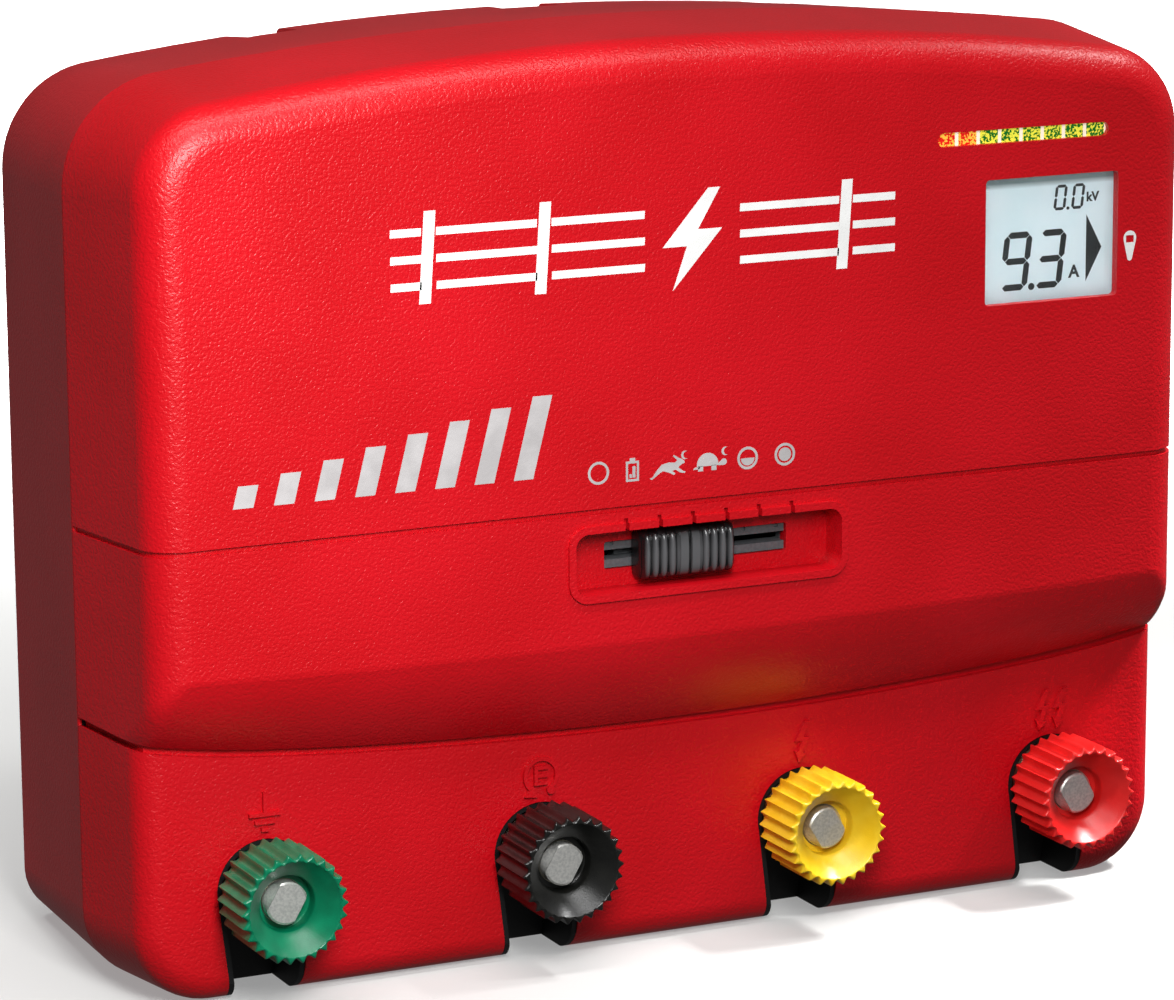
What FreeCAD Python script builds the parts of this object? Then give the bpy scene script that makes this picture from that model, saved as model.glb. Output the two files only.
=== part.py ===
"""Electric fence charger in a two-part moulded case, built as separate solids.

X runs to the viewer's right, Y to the rear and Z up, all in millimetres. The flat base is z = 0.
Depths d are counted forward from the rear wall plane, so y = REAR_Y - d.
"""
import math
import os

import FreeCAD
import Part

V = FreeCAD.Vector

# ---- overall case -------------------------------------------------------------------------------
TOTAL_D = 104.5          # rear wall to the knob faces
REAR_Y = TOTAL_D / 2
SEAM_D = 59.5            # parting plane of the two case halves
FRONT_D = 97.0           # front face of the cover
PANEL_D = 86.0           # terminal panel, set back under the chin
SEAM_HALF_W = 136.0      # widest half width, at the parting plane
REACH = SEAM_HALF_W + 14.0   # half width of cutting shapes that pass right across the case
REAR_HALF_W = SEAM_HALF_W - 5.3
FRONT_HALF_W = SEAM_HALF_W - 6.0
PANEL_HALF_W = SEAM_HALF_W - 5.0
SEAM_PEAK = 214.5        # crown height of the arched top
REAR_PEAK = SEAM_PEAK - 3.5
FRONT_PEAK = SEAM_PEAK - 2.6
SEAM_ARCH_R = 893.0
REAR_ARCH_R = 794.0
FRONT_ARCH_R = 735.0
SEAM_TOP_R = 26.0
REAR_TOP_R = 24.0
FRONT_TOP_R = 19.0
BASE_CORNER_R = 18.0
REAR_BASE_R = 12.0
FOOT_TRIM = 0.05         # taken off the underside to leave one true plane
FRONT_EDGE_R = 9.0
PANEL_EDGE_R = 6.5
REAR_EDGE_R = 3.0
RIM_EDGE_R = 0.7
WALL = 3.0

# ---- chin over the terminal panel ----------------------------------------------------------------
CHIN_LOW = 53.4          # lower lip height on the centre line
CHIN_TOP = 77.4          # where the front face ends on the centre line
CHIN_BULGE = 2.3         # outward bow of the chin section
CHIN_CREASE_R = 5.0      # softens the edges where the chin meets the front and the sides
CHIN_GAP = 1.8           # shadow groove between the chin and the terminal section
CHIN_GAP_DEEP = 1.8
LINE_Z = 106.5           # styling groove across the front
LINE_W = 1.3
LINE_DEEP = 0.9

# ---- terminals -----------------------------------------------------------------------------------
KNOB_PITCH = 68.0
KNOB_X = tuple((k - 1.5) * KNOB_PITCH for k in range(4))
KNOB_Z = 25.5
KNOB_R = 12.8
KNOB_FLUTES = 26
KNOB_FLUTE_DEEP = 1.3
KNOB_BACK_D = 88.7
DISH_RIM = 1.9           # width of the flat ring round the dish
DISH_GAP = 1.6           # radial gap between the stud tip and the bore in the dish
DISH_DEEP = 4.4
STUD_R = 4.9             # M10 stud
STUD_FLAT = 3.6          # half width across the two flats at the tip
STUD_FLAT_LEAN = (30.0, 30.0, -31.0, -31.0)   # lean of the flats, green to red
STUD_END_D = 99.2
SYMBOL_Z = 43.5          # height of the raised marks over the knobs
SYMBOL_H = 0.9
SYMBOL_LINE = 0.85
SYMBOL_RING_R = 4.4
RUN_GAP = 0.06           # radial running clearance of the knob on the stud
FACE_GAP = 0.1           # axial gap between stacked moving faces
WELL_WALL = 1.3          # wall of the moulded wire wells
WELL_GAP = 1.0           # clear space round the clamp washer
WELL_FOOT = 7.2          # half width of a well at the base
WELL_BACK_D = 70.0
WELL_FLOOR = 3.0
WELL_LIP = 0.4           # the wells end this far behind the panel face
SEAT_END_D = 82.5
SEAT_R = 8.2
WASHER_R = 9.3
WASHER_T = 1.8
INSERT_R = 8.0
INSERT_END_D = 98.0
INSERT_HEX = 11.4        # across flats of the insert's locking tail
NUT_AF = 17.0
NUT_T = 8.0
LUG_T = 1.0
LEAD_R = 1.5
LEAD_BEND_R = 8.0
LEAD_Z = 64.0

# ---- mode slider ---------------------------------------------------------------------------------
MODE_X = 4.2             # middle of the six positions
MODE_Z = 94.4
MODE_PITCH = 8.46
MODE_STEPS = 6
MODE_REST = 3            # position shown at rest, counted from the left
REST_X = MODE_X + (MODE_REST - (MODE_STEPS + 1) / 2) * MODE_PITCH
RECESS_HALF_X = 34.0
RECESS_HALF_Z = 7.2
RECESS_R = 3.2
RECESS_FLOOR_D = 90.0
RIM_W = 1.7
RIM_H = 0.8
SLOT_HALF_X = 23.4
SLOT_HALF_Z = 3.25
SLIDER_HALF_X = 12.35
SLIDER_HALF_Z = 5.8
SLIDER_TOP_D = 96.0
STEM_HALF_X = 2.0
STEM_HALF_Z = 0.9
STEM_GAP = 0.25          # clearance of the stem in the track slot
LAND_DROP = 0.8          # the track land lies this far behind the recess floor
TRACK_FACE_D = 84.6      # rear of the track face plate
TRACK_BACK_D = 78.2
SLIDE_GAP = 0.3
TRACK_HALF_X = 42.0
TRACK_HALF_Z = 11.2
TRACK_SCREW_X = 45.5     # track screws, either side of the middle

# ---- display -------------------------------------------------------------------------------------
LCD_X = 94.0
LCD_Z = SEAM_PEAK - 54.1
LCD_HALF_X = 17.9
LCD_HALF_Z = 14.8
LCD_LEDGE = 1.5
LENS_T = 1.4
MODULE_HALF_X = 19.0
MODULE_HALF_Z = 17.0
MODULE_T = 5.4
LENS_FACE_D = 94.8
LED_X = 86.1
LED_Z = SEAM_PEAK - 29.2
LED_HALF = 22.9
LED_R = 1.65
LED_COUNT = 8
LED_SINK = 1.4           # the light pipe ends this far behind the front face
DISPLAY_D = 76.0         # rear face of the display board
BOARD_T = 1.6
RIBBON_X = -20.0
RIBBON_Z0 = 104.0
RIBBON_Z1 = 118.0
RIBBON_BEND_R = 12.0
DISPLAY_X0 = -50.0
DISPLAY_X1 = 114.0
DISPLAY_Z0 = MODE_Z - 11.4
DISPLAY_Z1 = LED_Z + 6.2
DISPLAY_SCREWS = ((DISPLAY_X0 + 5.0, DISPLAY_Z1 - 4.5), (DISPLAY_X0 + 5.0, MODE_Z + 17.6),
                  (DISPLAY_X1 - 6.0, MODE_Z + 17.6), (40.0, DISPLAY_Z1 - 4.5))

# ---- main board and rear case --------------------------------------------------------------------
MAIN_D = 10.0            # rear face of the main board
MAIN_HALF_X = SEAM_HALF_W - 24.0
MAIN_Z0 = 58.0
MAIN_Z1 = SEAM_PEAK - 34.5
MAIN_SCREW_X = MAIN_HALF_X - 4.0
MAIN_SCREWS = ((-68.0, MAIN_Z0 + 5.0), (0.0, MAIN_Z0 + 5.0), (68.0, MAIN_Z0 + 5.0),
               (-MAIN_SCREW_X, MAIN_Z1 - 4.0), (0.0, MAIN_Z1 - 6.0), (MAIN_SCREW_X, MAIN_Z1 - 4.0))
CASE_SCREW_X = SEAM_HALF_W - 15.0
CASE_SCREWS = ((-CASE_SCREW_X, SEAM_PEAK - 42.5), (CASE_SCREW_X, SEAM_PEAK - 42.5),
               (-CASE_SCREW_X, 70.0), (CASE_SCREW_X, 70.0), (0.0, SEAM_PEAK - 12.5), (0.0, 12.0))
CASE_BOSS_R = 5.5
CASE_SCREW_R = 2.0
CASE_HEAD_R = 3.9
CASE_HEAD_D = 14.0       # depth of the screw head seat
HANG_X = (-68.0, 68.0)
HANG_Z = 150.0
HANG_HEAD_R = 5.0
HANG_SLOT_R = 2.6
HANG_SLOT_L = 12.0
NOTCH_X = (-68.0, 0.0, 68.0)
NOTCH_DEEP = 14.0
NOTCH_FALL = 2.6
CAP_X = (-4.0, 35.0, 74.0)
CAP_Z = MAIN_Z1 - 34.0
CAP_R = 18.0
CAP_END_D = 62.0
CORE_X = -68.0
CORE_Z = MAIN_Z1 - 49.0
CORE_HALF_X = 36.0
CORE_HALF_Z = 30.0
CORE_D0 = 24.0
CORE_D1 = 52.0
WINDOW_HALF_Z = 18.0     # half height of the core windows
LEG_HALF = 12.0          # half width of the core's middle leg
BOLT_X = 31.0            # core bolts, from the core centre
BOLT_Z = 25.0
FOOT_X = 24.0            # bracket foot screws, from the core centre
FOOT_Z = 36.5
INLET_X = -68.0
INLET_D = 32.0


def yy(d):
    """Depth counted forward from the rear plane, as a y coordinate."""
    return REAR_Y - d


def box(x0, x1, d0, d1, z0, z1):
    """Axis-aligned block given by its limits in x, depth and z."""
    return Part.makeBox(x1 - x0, d1 - d0, z1 - z0, V(x0, yy(d1), z0))


def rod(x, z, r, d0, d1):
    """Cylinder whose axis points forward, from depth d0 to d1."""
    return Part.makeCylinder(r, d1 - d0, V(x, yy(d0), z), V(0, -1, 0))


def post(x, d, r, z0, z1):
    """Upright cylinder."""
    return Part.makeCylinder(r, z1 - z0, V(x, yy(d), z0))


def prism(points, d0, d1):
    """Polygon given as (x, z) points, extruded from depth d0 forward to d1."""
    ring = [V(x, yy(d0), z) for x, z in points]
    face = Part.Face(Part.makePolygon(ring + ring[:1]))
    return face.extrude(V(0, d0 - d1, 0))


def rounded(x, z, half_x, half_z, r, d0, d1):
    """Block with four corners rounded, facing forward."""
    block = box(x - half_x, x + half_x, d0, d1, z - half_z, z + half_z)
    upright = [e for e in block.Edges if abs(e.tangentAt(e.FirstParameter).y) > 0.99]
    return block.makeFillet(r, upright)


def hexagon(x, z, across, d0, d1):
    """Hexagonal prism facing forward."""
    r = across / math.sqrt(3.0)
    angles = [math.radians(60 * k) for k in range(6)]
    return prism([(x + r * math.cos(a), z + r * math.sin(a)) for a in angles], d0, d1)


def join(shapes):
    """One solid from several that touch or overlap."""
    return shapes[0].multiFuse(shapes[1:]).removeSplitter()


def group(shapes):
    """Several separate solids in one node."""
    return Part.makeCompound(shapes)


def outline(d, half_w, peak, arch_r, top_r, base_z, base_r):
    """Closed case outline at depth d: flat base, arched top, four rounded corners."""
    y = yy(d)
    arch_z = peak - arch_r
    corner_x = half_w - top_r
    corner_z = arch_z + math.sqrt((arch_r - top_r) ** 2 - corner_x ** 2)
    grow = arch_r / (arch_r - top_r)
    tan_x = corner_x * grow
    tan_z = arch_z + (corner_z - arch_z) * grow
    lean = math.atan2(corner_z - arch_z, corner_x) / 2
    mid_x = corner_x + top_r * math.cos(lean)
    mid_z = corner_z + top_r * math.sin(lean)
    diag = base_r * (1 - math.sqrt(0.5))
    low = base_z + base_r
    edges = [
        Part.makeLine(V(base_r - half_w, y, base_z), V(half_w - base_r, y, base_z)),
        Part.Arc(V(half_w - base_r, y, base_z), V(half_w - diag, y, base_z + diag),
                 V(half_w, y, low)).toShape(),
        Part.makeLine(V(half_w, y, low), V(half_w, y, corner_z)),
        Part.Arc(V(half_w, y, corner_z), V(mid_x, y, mid_z), V(tan_x, y, tan_z)).toShape(),
        Part.Arc(V(tan_x, y, tan_z), V(0, y, peak), V(-tan_x, y, tan_z)).toShape(),
        Part.Arc(V(-tan_x, y, tan_z), V(-mid_x, y, mid_z), V(-half_w, y, corner_z)).toShape(),
        Part.makeLine(V(-half_w, y, corner_z), V(-half_w, y, low)),
        Part.Arc(V(-half_w, y, low), V(diag - half_w, y, base_z + diag),
                 V(base_r - half_w, y, base_z)).toShape(),
    ]
    return Part.Wire(edges)


def case_outline(d, inset):
    """Outer case outline at depth d, moved inward by inset; its base lies FOOT_TRIM below z = 0."""
    if d <= SEAM_D:
        t = d / SEAM_D
        half_w = REAR_HALF_W + (SEAM_HALF_W - REAR_HALF_W) * t
        peak = REAR_PEAK + (SEAM_PEAK - REAR_PEAK) * t
        arch_r = REAR_ARCH_R + (SEAM_ARCH_R - REAR_ARCH_R) * t
        top_r = REAR_TOP_R + (SEAM_TOP_R - REAR_TOP_R) * t
        base_r = REAR_BASE_R + (BASE_CORNER_R - REAR_BASE_R) * t
    else:
        t = (d - SEAM_D) / (FRONT_D - SEAM_D)
        half_w = SEAM_HALF_W + (FRONT_HALF_W - SEAM_HALF_W) * t
        peak = SEAM_PEAK + (FRONT_PEAK - SEAM_PEAK) * t
        arch_r = SEAM_ARCH_R + (FRONT_ARCH_R - SEAM_ARCH_R) * t
        top_r = SEAM_TOP_R + (FRONT_TOP_R - SEAM_TOP_R) * t
        base_r = BASE_CORNER_R
    base_z = inset - FOOT_TRIM
    return outline(d, half_w - inset, peak - inset, arch_r - inset, top_r - inset, base_z, base_r - inset)


def loft(d0, d1, inset):
    """Solid between the case outlines at two depths."""
    return Part.makeLoft([case_outline(d0, inset), case_outline(d1, inset)], True, True)


def trim_foot(shape):
    """Planes the underside off at z = 0."""
    return shape.cut(box(-300.0, 300.0, -20.0, 200.0, -5.0, 0.0))


def front_rim(shape, d):
    """Edges of a round part that lie in its front plane at depth d."""
    return [e for e in shape.Edges if e.BoundBox.YLength < 1e-3 and abs(e.BoundBox.YMin - yy(d)) < 1e-3]


def edges_at(shape, d):
    """Edges of shape that lie in the plane at depth d."""
    return [e for e in shape.Edges if all(abs(v.Y - yy(d)) < 1e-4 for v in e.Vertexes)
            and abs(e.BoundBox.YLength) < 1e-3]


# ---- rear case -----------------------------------------------------------------------------------
def notch(x):
    """Shallow scallop in the top rear edge: a gentle fall to the right, then a step back up."""
    top = REAR_PEAK - (x * x) / (2 * REAR_ARCH_R)
    slope = -x / REAR_ARCH_R
    points = [(x - 9.0, top - 9.0 * slope + 0.4), (x + 6.5, top + 6.5 * slope - NOTCH_FALL),
              (x + 6.5, top + 12.0), (x - 9.0, top + 12.0)]
    return prism(points, -1.0, NOTCH_DEEP)


def hang_cut(x):
    """Keyhole through the rear wall for a wall screw."""
    head = rod(x, HANG_Z, HANG_HEAD_R, -1.0, 6.5)
    tail = rod(x, HANG_Z + HANG_SLOT_L, HANG_SLOT_R, -1.0, WALL)
    neck = box(x - HANG_SLOT_R, x + HANG_SLOT_R, -1.0, WALL, HANG_Z, HANG_Z + HANG_SLOT_L)
    room = box(x - HANG_HEAD_R, x + HANG_HEAD_R, WALL, 6.5, HANG_Z, HANG_Z + HANG_SLOT_L)
    end = rod(x, HANG_Z + HANG_SLOT_L, HANG_HEAD_R, WALL, 6.5)
    return join([head, tail, neck, room, end])


def rear_case():
    """Drafted rear tray with screw towers, board standoffs, keyholes and the inlet opening."""
    outer = loft(0.0, SEAM_D, 0.0)
    outer = outer.makeFillet(REAR_EDGE_R, edges_at(outer, 0.0))
    inner = loft(WALL, SEAM_D + 1.0, WALL)
    adds = []
    cuts = []
    for x, z in CASE_SCREWS:
        adds.append(rod(x, z, CASE_BOSS_R, 1.0, SEAM_D))
        cuts.append(rod(x, z, CASE_HEAD_R, -1.0, CASE_HEAD_D))
        cuts.append(rod(x, z, CASE_SCREW_R, CASE_HEAD_D - 1.0, SEAM_D + 1.0))
    for x, z in MAIN_SCREWS:
        adds.append(rod(x, z, 4.0, WALL - 1.0, MAIN_D))
        cuts.append(rod(x, z, 1.5, 4.0, MAIN_D + 1.0))
    for x in HANG_X:
        adds.append(rounded(x, HANG_Z + HANG_SLOT_L / 2, 7.5, 13.5, 3.0, WALL - 1.0, 8.5))
        cuts.append(hang_cut(x))
    adds.append(box(INLET_X - 16.0, INLET_X + 16.0, INLET_D - 11.0, INLET_D + 11.0, 1.0, 6.0))
    cuts.append(box(INLET_X - 12.0, INLET_X + 12.0, INLET_D - 7.0, INLET_D + 7.0, -1.0, 7.0))
    for x in NOTCH_X:
        cuts.append(notch(x))
    body = outer.cut(inner).fuse([a.common(outer) for a in adds])
    body = body.cut(cuts + [case_gasket()]).removeSplitter()
    return trim_foot(body.makeFillet(RIM_EDGE_R, outer_rim(body)))


def outer_rim(shell):
    """Outside edges of a case half in the parting plane."""
    rim = []
    for edge in edges_at(shell, SEAM_D):
        mid = edge.valueAt((edge.FirstParameter + edge.LastParameter) / 2)
        wire = case_outline(SEAM_D, 0.0)
        if wire.distToShape(Part.Vertex(mid))[0] < 0.05:
            rim.append(edge)
    return rim


def case_gasket():
    """Square-section ring let into the rim of the rear case."""
    outside = Part.makeLoft([case_outline(SEAM_D - 2.0, 0.9), case_outline(SEAM_D, 0.9)], True, True)
    inside = Part.makeLoft([case_outline(SEAM_D - 2.0, 2.2), case_outline(SEAM_D, 2.2)], True, True)
    return outside.cut(inside)


# ---- front cover ---------------------------------------------------------------------------------
def chin_low(x):
    """Height of the chin's lower lip, rising towards the sides."""
    a = abs(x)
    return CHIN_LOW + 4.07 * (a / 100.0) ** 2 + 0.0019 * max(0.0, a - 100.0) ** 2


def chin_section(x, top):
    """Closed section below the chin surface, or a thin band under it when top is False."""
    low = chin_low(x)
    if not top:
        corners = [(50.0, low - CHIN_GAP), (130.0, low - CHIN_GAP), (130.0, low), (50.0, low)]
        ring = [V(x, yy(d), z) for d, z in corners]
        return Part.makePolygon(ring + ring[:1])
    crest = CHIN_TOP + 0.85 * (x / 100.0) ** 2 + 1.6
    d0, d1 = FRONT_D + 0.5, PANEL_D
    run = math.hypot(d0 - d1, crest - low)
    mid_d = (d0 + d1) / 2 + CHIN_BULGE * (crest - low) / run
    mid_z = (crest + low) / 2 - CHIN_BULGE * (d0 - d1) / run
    pts = [V(x, yy(d), z) for d, z in ((40.0, -20.0), (130.0, -20.0), (130.0, crest), (d0, crest),
                                       (mid_d, mid_z), (d1, low), (40.0, low))]
    edges = [Part.makeLine(pts[0], pts[1]), Part.makeLine(pts[1], pts[2]), Part.makeLine(pts[2], pts[3]),
             Part.Arc(pts[3], pts[4], pts[5]).toShape(), Part.makeLine(pts[5], pts[6]),
             Part.makeLine(pts[6], pts[0])]
    return Part.Wire(edges)


def chin_loft(top):
    """Solid swept through the chin sections from side to side."""
    stations = [REACH * share / 15.0 for share in (-15, -12, -8, -4, 0, 4, 8, 12, 15)]
    return Part.makeLoft([chin_section(x, top) for x in stations], True, False)


def panel_block(inset, depth_end, top_z):
    """Terminal section below the chin, drafted like the sides."""
    def ring(d, half_w):
        y = yy(d)
        r = BASE_CORNER_R - inset
        w = half_w - inset
        g = r * (1 - math.sqrt(0.5))
        z0 = inset - FOOT_TRIM
        return Part.Wire([
            Part.makeLine(V(r - w, y, z0), V(w - r, y, z0)),
            Part.Arc(V(w - r, y, z0), V(w - g, y, z0 + g), V(w, y, z0 + r)).toShape(),
            Part.makeLine(V(w, y, z0 + r), V(w, y, top_z)),
            Part.makeLine(V(w, y, top_z), V(-w, y, top_z)),
            Part.makeLine(V(-w, y, top_z), V(-w, y, z0 + r)),
            Part.Arc(V(-w, y, z0 + r), V(g - w, y, z0 + g), V(r - w, y, z0)).toShape()])
    t = (depth_end - SEAM_D) / (PANEL_D - SEAM_D)
    end_w = SEAM_HALF_W + (PANEL_HALF_W - SEAM_HALF_W) * t
    return Part.makeLoft([ring(SEAM_D, SEAM_HALF_W), ring(depth_end, end_w)], True, True)


def well_shape(x, grow, d0, d1, foot):
    """Wire well: round under the knob and tapering to the base."""
    r = WASHER_R + WELL_GAP + grow
    low = WELL_FOOT + grow
    taper = prism([(x - r, KNOB_Z), (x + r, KNOB_Z), (x + low, foot), (x - low, foot)], d0, d1)
    return join([taper, rod(x, KNOB_Z, r, d0, d1)])


def bolt_mark(x, z):
    """Lightning arrow outline as (x, z) points."""
    shape = ((0.5, 4.9), (-2.1, 0.2), (-0.3, 0.2), (-1.4, -2.4), (-2.2, -2.1), (-1.1, -5.0), (0.8, -2.9),
             (-0.1, -2.7), (1.7, 1.1), (0.1, 1.1), (1.8, 4.9))
    return [(x + px, z + pz) for px, pz in shape]


def symbols():
    """Raised terminal marks on the panel above the knobs: earth, ringed earth, one and two bolts."""
    d0, d1 = PANEL_D - 1.0, PANEL_D + SYMBOL_H
    z = SYMBOL_Z
    line = SYMBOL_LINE
    marks = []
    x = KNOB_X[0]
    marks.append(box(x - line / 2, x + line / 2, d0, d1, z - 0.6, z + 4.6))
    for half, dz in ((3.8, -0.6), (2.4, -2.4), (0.9, -4.1)):
        marks.append(box(x - half, x + half, d0, d1, z + dz - line / 2, z + dz + line / 2))
    x = KNOB_X[1]
    ring = rod(x, z, SYMBOL_RING_R, d0, d1).cut(rod(x, z, SYMBOL_RING_R - line, d0 - 1, d1 + 1))
    ring = ring.cut(prism([(x, z), (x - 3.6, z - 6.0), (x + 2.6, z - 6.0)], d0 - 1, d1 + 1))
    marks.append(ring)
    marks.append(rod(x + 2.5, z - 3.6, 1.0, d0, d1))
    marks.append(prism([(x - 4.1, z - 4.7), (x - 0.9, z - 5.0), (x - 2.4, z - 2.4)], d0, d1))
    marks.append(box(x - 1.7, x - 1.7 + line, d0, d1, z - 2.2, z + 2.3))
    for dz in (-2.2, -0.4, 1.45):
        marks.append(box(x - 1.7, x + 1.7, d0, d1, z + dz, z + dz + line))
    marks.append(prism(bolt_mark(KNOB_X[2], z), d0, d1))
    for dx in (-2.5, 2.4):
        marks.append(prism(bolt_mark(KNOB_X[3] + dx, z), d0, d1))
    return marks


def recess_parts():
    """Added block and cuts for the slider recess."""
    add = [rounded(MODE_X, MODE_Z, RECESS_HALF_X + 2.5, RECESS_HALF_Z + 2.5, 2.0, RECESS_FLOOR_D - 3.0, 96.0),
           rounded(MODE_X, MODE_Z, RECESS_HALF_X + RIM_W, RECESS_HALF_Z + RIM_W, RECESS_R + RIM_W,
                   95.0, FRONT_D + RIM_H)]
    cut = [rounded(MODE_X, MODE_Z, RECESS_HALF_X, RECESS_HALF_Z, RECESS_R, RECESS_FLOOR_D, FRONT_D + 3.0),
           rounded(MODE_X, MODE_Z, SLOT_HALF_X, SLOT_HALF_Z, 0.6, RECESS_FLOOR_D - 5.0, FRONT_D)]
    for k in range(MODE_STEPS):
        x = MODE_X + (k - (MODE_STEPS - 1) / 2) * MODE_PITCH
        z = MODE_Z + RECESS_HALF_Z
        cut.append(box(x - 0.5, x + 0.5, FRONT_D - 1.2, FRONT_D + 2.0, z - 1.0, z + RIM_W + 1.0))
    return add, cut


def stadium(x, z, half, r, d0, d1):
    """Slot shape with round ends."""
    return join([box(x - half + r, x + half - r, d0, d1, z - r, z + r),
                 rod(x - half + r, z, r, d0, d1), rod(x + half - r, z, r, d0, d1)])


def panel_section():
    """Terminal section with its rounded front rim."""
    lower = panel_block(0.0, PANEL_D, 72.0)
    rims = [e for e in edges_at(lower, PANEL_D) if e.BoundBox.ZMin < 71.0]
    return lower.makeFillet(PANEL_EDGE_R, rims)


def chin_creases(upper):
    """Edges where the chin surface meets the front face and the rounded side edges."""
    found = []
    for edge in upper.Edges:
        box_of = edge.BoundBox
        if box_of.ZMin > CHIN_LOW + 8.0 and box_of.ZMax < LINE_Z and box_of.YMin < yy(PANEL_D + 3.0):
            found.append(edge)
    return found


def cover_outer():
    """Outer form of the cover: arched upper body with a chin, and the terminal section under it."""
    upper = loft(SEAM_D, FRONT_D, 0.0)
    upper = upper.makeFillet(FRONT_EDGE_R, edges_at(upper, FRONT_D))
    upper = upper.cut(chin_loft(True))
    upper = upper.makeFillet(CHIN_CREASE_R, chin_creases(upper))
    lower = panel_section()
    core = panel_block(CHIN_GAP_DEEP, PANEL_D - CHIN_GAP_DEEP, 72.0)
    band = chin_loft(False)
    lower = lower.cut(band.cut(core))
    return upper.fuse(lower)


def line_groove():
    """Shallow styling groove round the front and the sides."""
    outside = box(-REACH, REACH, SEAM_D - 1.0, FRONT_D + 13.0, LINE_Z - LINE_W / 2, LINE_Z + LINE_W / 2)
    core = loft(SEAM_D, FRONT_D - LINE_DEEP, LINE_DEEP)
    core = core.makeFillet(FRONT_EDGE_R - LINE_DEEP, edges_at(core, FRONT_D - LINE_DEEP))
    return outside.cut(core)


def front_cover():
    """Front half of the case with chin, terminal panel, openings and inner bosses."""
    outer = cover_outer()
    shift = chin_loft(True)
    shift.translate(V(0, 1.8, 3.4))
    room = Part.makeLoft([case_outline(SEAM_D - 1.0, WALL), case_outline(FRONT_D - WALL, WALL)], True, True)
    room = room.cut(shift)
    low_room = panel_block(3.6, PANEL_D - 4.0, 71.0)
    low_room.translate(V(0, 0.01, 0))
    hollow = room.fuse(low_room)
    adds = []
    cuts = []
    for x, z in CASE_SCREWS:
        adds.append(rod(x, z, CASE_BOSS_R - 0.8, SEAM_D, FRONT_D - 1.0))
        cuts.append(rod(x, z, CASE_SCREW_R, SEAM_D - 1.0, SEAM_D + 14.0))
    for x, z in DISPLAY_SCREWS:
        adds.append(rod(x, z, 3.4, DISPLAY_D + BOARD_T, FRONT_D - 1.0))
        cuts.append(rod(x, z, 1.3, DISPLAY_D, FRONT_D - 5.0))
    for x in (MODE_X - TRACK_SCREW_X, MODE_X + TRACK_SCREW_X):
        adds.append(rod(x, MODE_Z, 3.2, RECESS_FLOOR_D - 3.0, FRONT_D - 1.0))
        cuts.append(rod(x, MODE_Z, 1.1, RECESS_FLOOR_D - 4.0, FRONT_D - 4.0))
    for x in KNOB_X:
        cuts.append(well_shape(x, WELL_WALL, WELL_BACK_D - WELL_FLOOR, PANEL_D + 4.0, -1.0))
    more, less = recess_parts()
    adds += more[:1]
    cuts += less
    cuts.append(rounded(LCD_X, LCD_Z, LCD_HALF_X, LCD_HALF_Z, 1.0, FRONT_D - 5.0, FRONT_D + 1.0))
    cuts.append(rounded(LCD_X, LCD_Z, LCD_HALF_X + LCD_LEDGE, LCD_HALF_Z + LCD_LEDGE, 1.5, 90.0, LENS_FACE_D))
    cuts.append(stadium(LED_X, LED_Z, LED_HALF, LED_R, 90.0, FRONT_D + 1.0))
    body = outer.cut(hollow)
    body = body.fuse([a.common(outer) for a in adds] + more[1:] + symbols())
    cuts.append(line_groove())
    return trim_foot(body.cut(cuts).removeSplitter())


def terminal_block():
    """Black moulding behind the panel: four wire wells on one bar, holding the studs."""
    d0, d1 = WELL_BACK_D - WELL_FLOOR, WELL_BACK_D
    half = KNOB_X[-1] + 13.0
    solids = [box(-half, half, d0, d1, KNOB_Z - 7.5, KNOB_Z + 8.5)]
    cuts = []
    for x in KNOB_X:
        solids.append(well_shape(x, WELL_WALL, d0, PANEL_D - WELL_LIP, 0.0))
        cuts.append(well_shape(x, 0.0, d1, PANEL_D, -1.0))
        cuts.append(rod(x, KNOB_Z, STUD_R, d0 - 1.0, d1 + 1.0))
    return trim_foot(join(solids).cut(cuts).common(panel_section()))


def case_screws():
    """Six self-tapping screws driven from the rear through the towers."""
    out = []
    for x, z in CASE_SCREWS:
        head = rod(x, z, CASE_HEAD_R - 0.1, CASE_HEAD_D - 3.0, CASE_HEAD_D)
        cross = join([box(x - 2.0, x + 2.0, CASE_HEAD_D - 4.0, CASE_HEAD_D - 1.4, z - 0.5, z + 0.5),
                      box(x - 0.5, x + 0.5, CASE_HEAD_D - 4.0, CASE_HEAD_D - 1.4, z - 2.0, z + 2.0)])
        shank = rod(x, z, CASE_SCREW_R, CASE_HEAD_D - 0.5, SEAM_D + 12.0)
        out.append(join([head, shank]).cut(cross))
    return group(out)


# ---- power inlet ---------------------------------------------------------------------------------
def power_inlet():
    """Moulded socket let into the base of the rear case, open downward."""
    flange = box(INLET_X - 15.0, INLET_X + 15.0, INLET_D - 10.0, INLET_D + 10.0, 6.0, 8.0)
    body = box(INLET_X - 12.0, INLET_X + 12.0, INLET_D - 7.0, INLET_D + 7.0, 0.6, 24.0)
    well = box(INLET_X - 10.5, INLET_X + 10.5, INLET_D - 5.5, INLET_D + 5.5, -1.0, 18.0)
    out = join([flange, body]).cut(well)
    for dx in (-5.0, 5.0):
        out = out.cut(post(INLET_X + dx, INLET_D, 1.2, 15.0, 26.0))
    return out


def inlet_pins():
    """Two round contact pins in the inlet."""
    return group([post(INLET_X + dx, INLET_D, 1.2, 6.0, 27.0) for dx in (-5.0, 5.0)])


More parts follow.
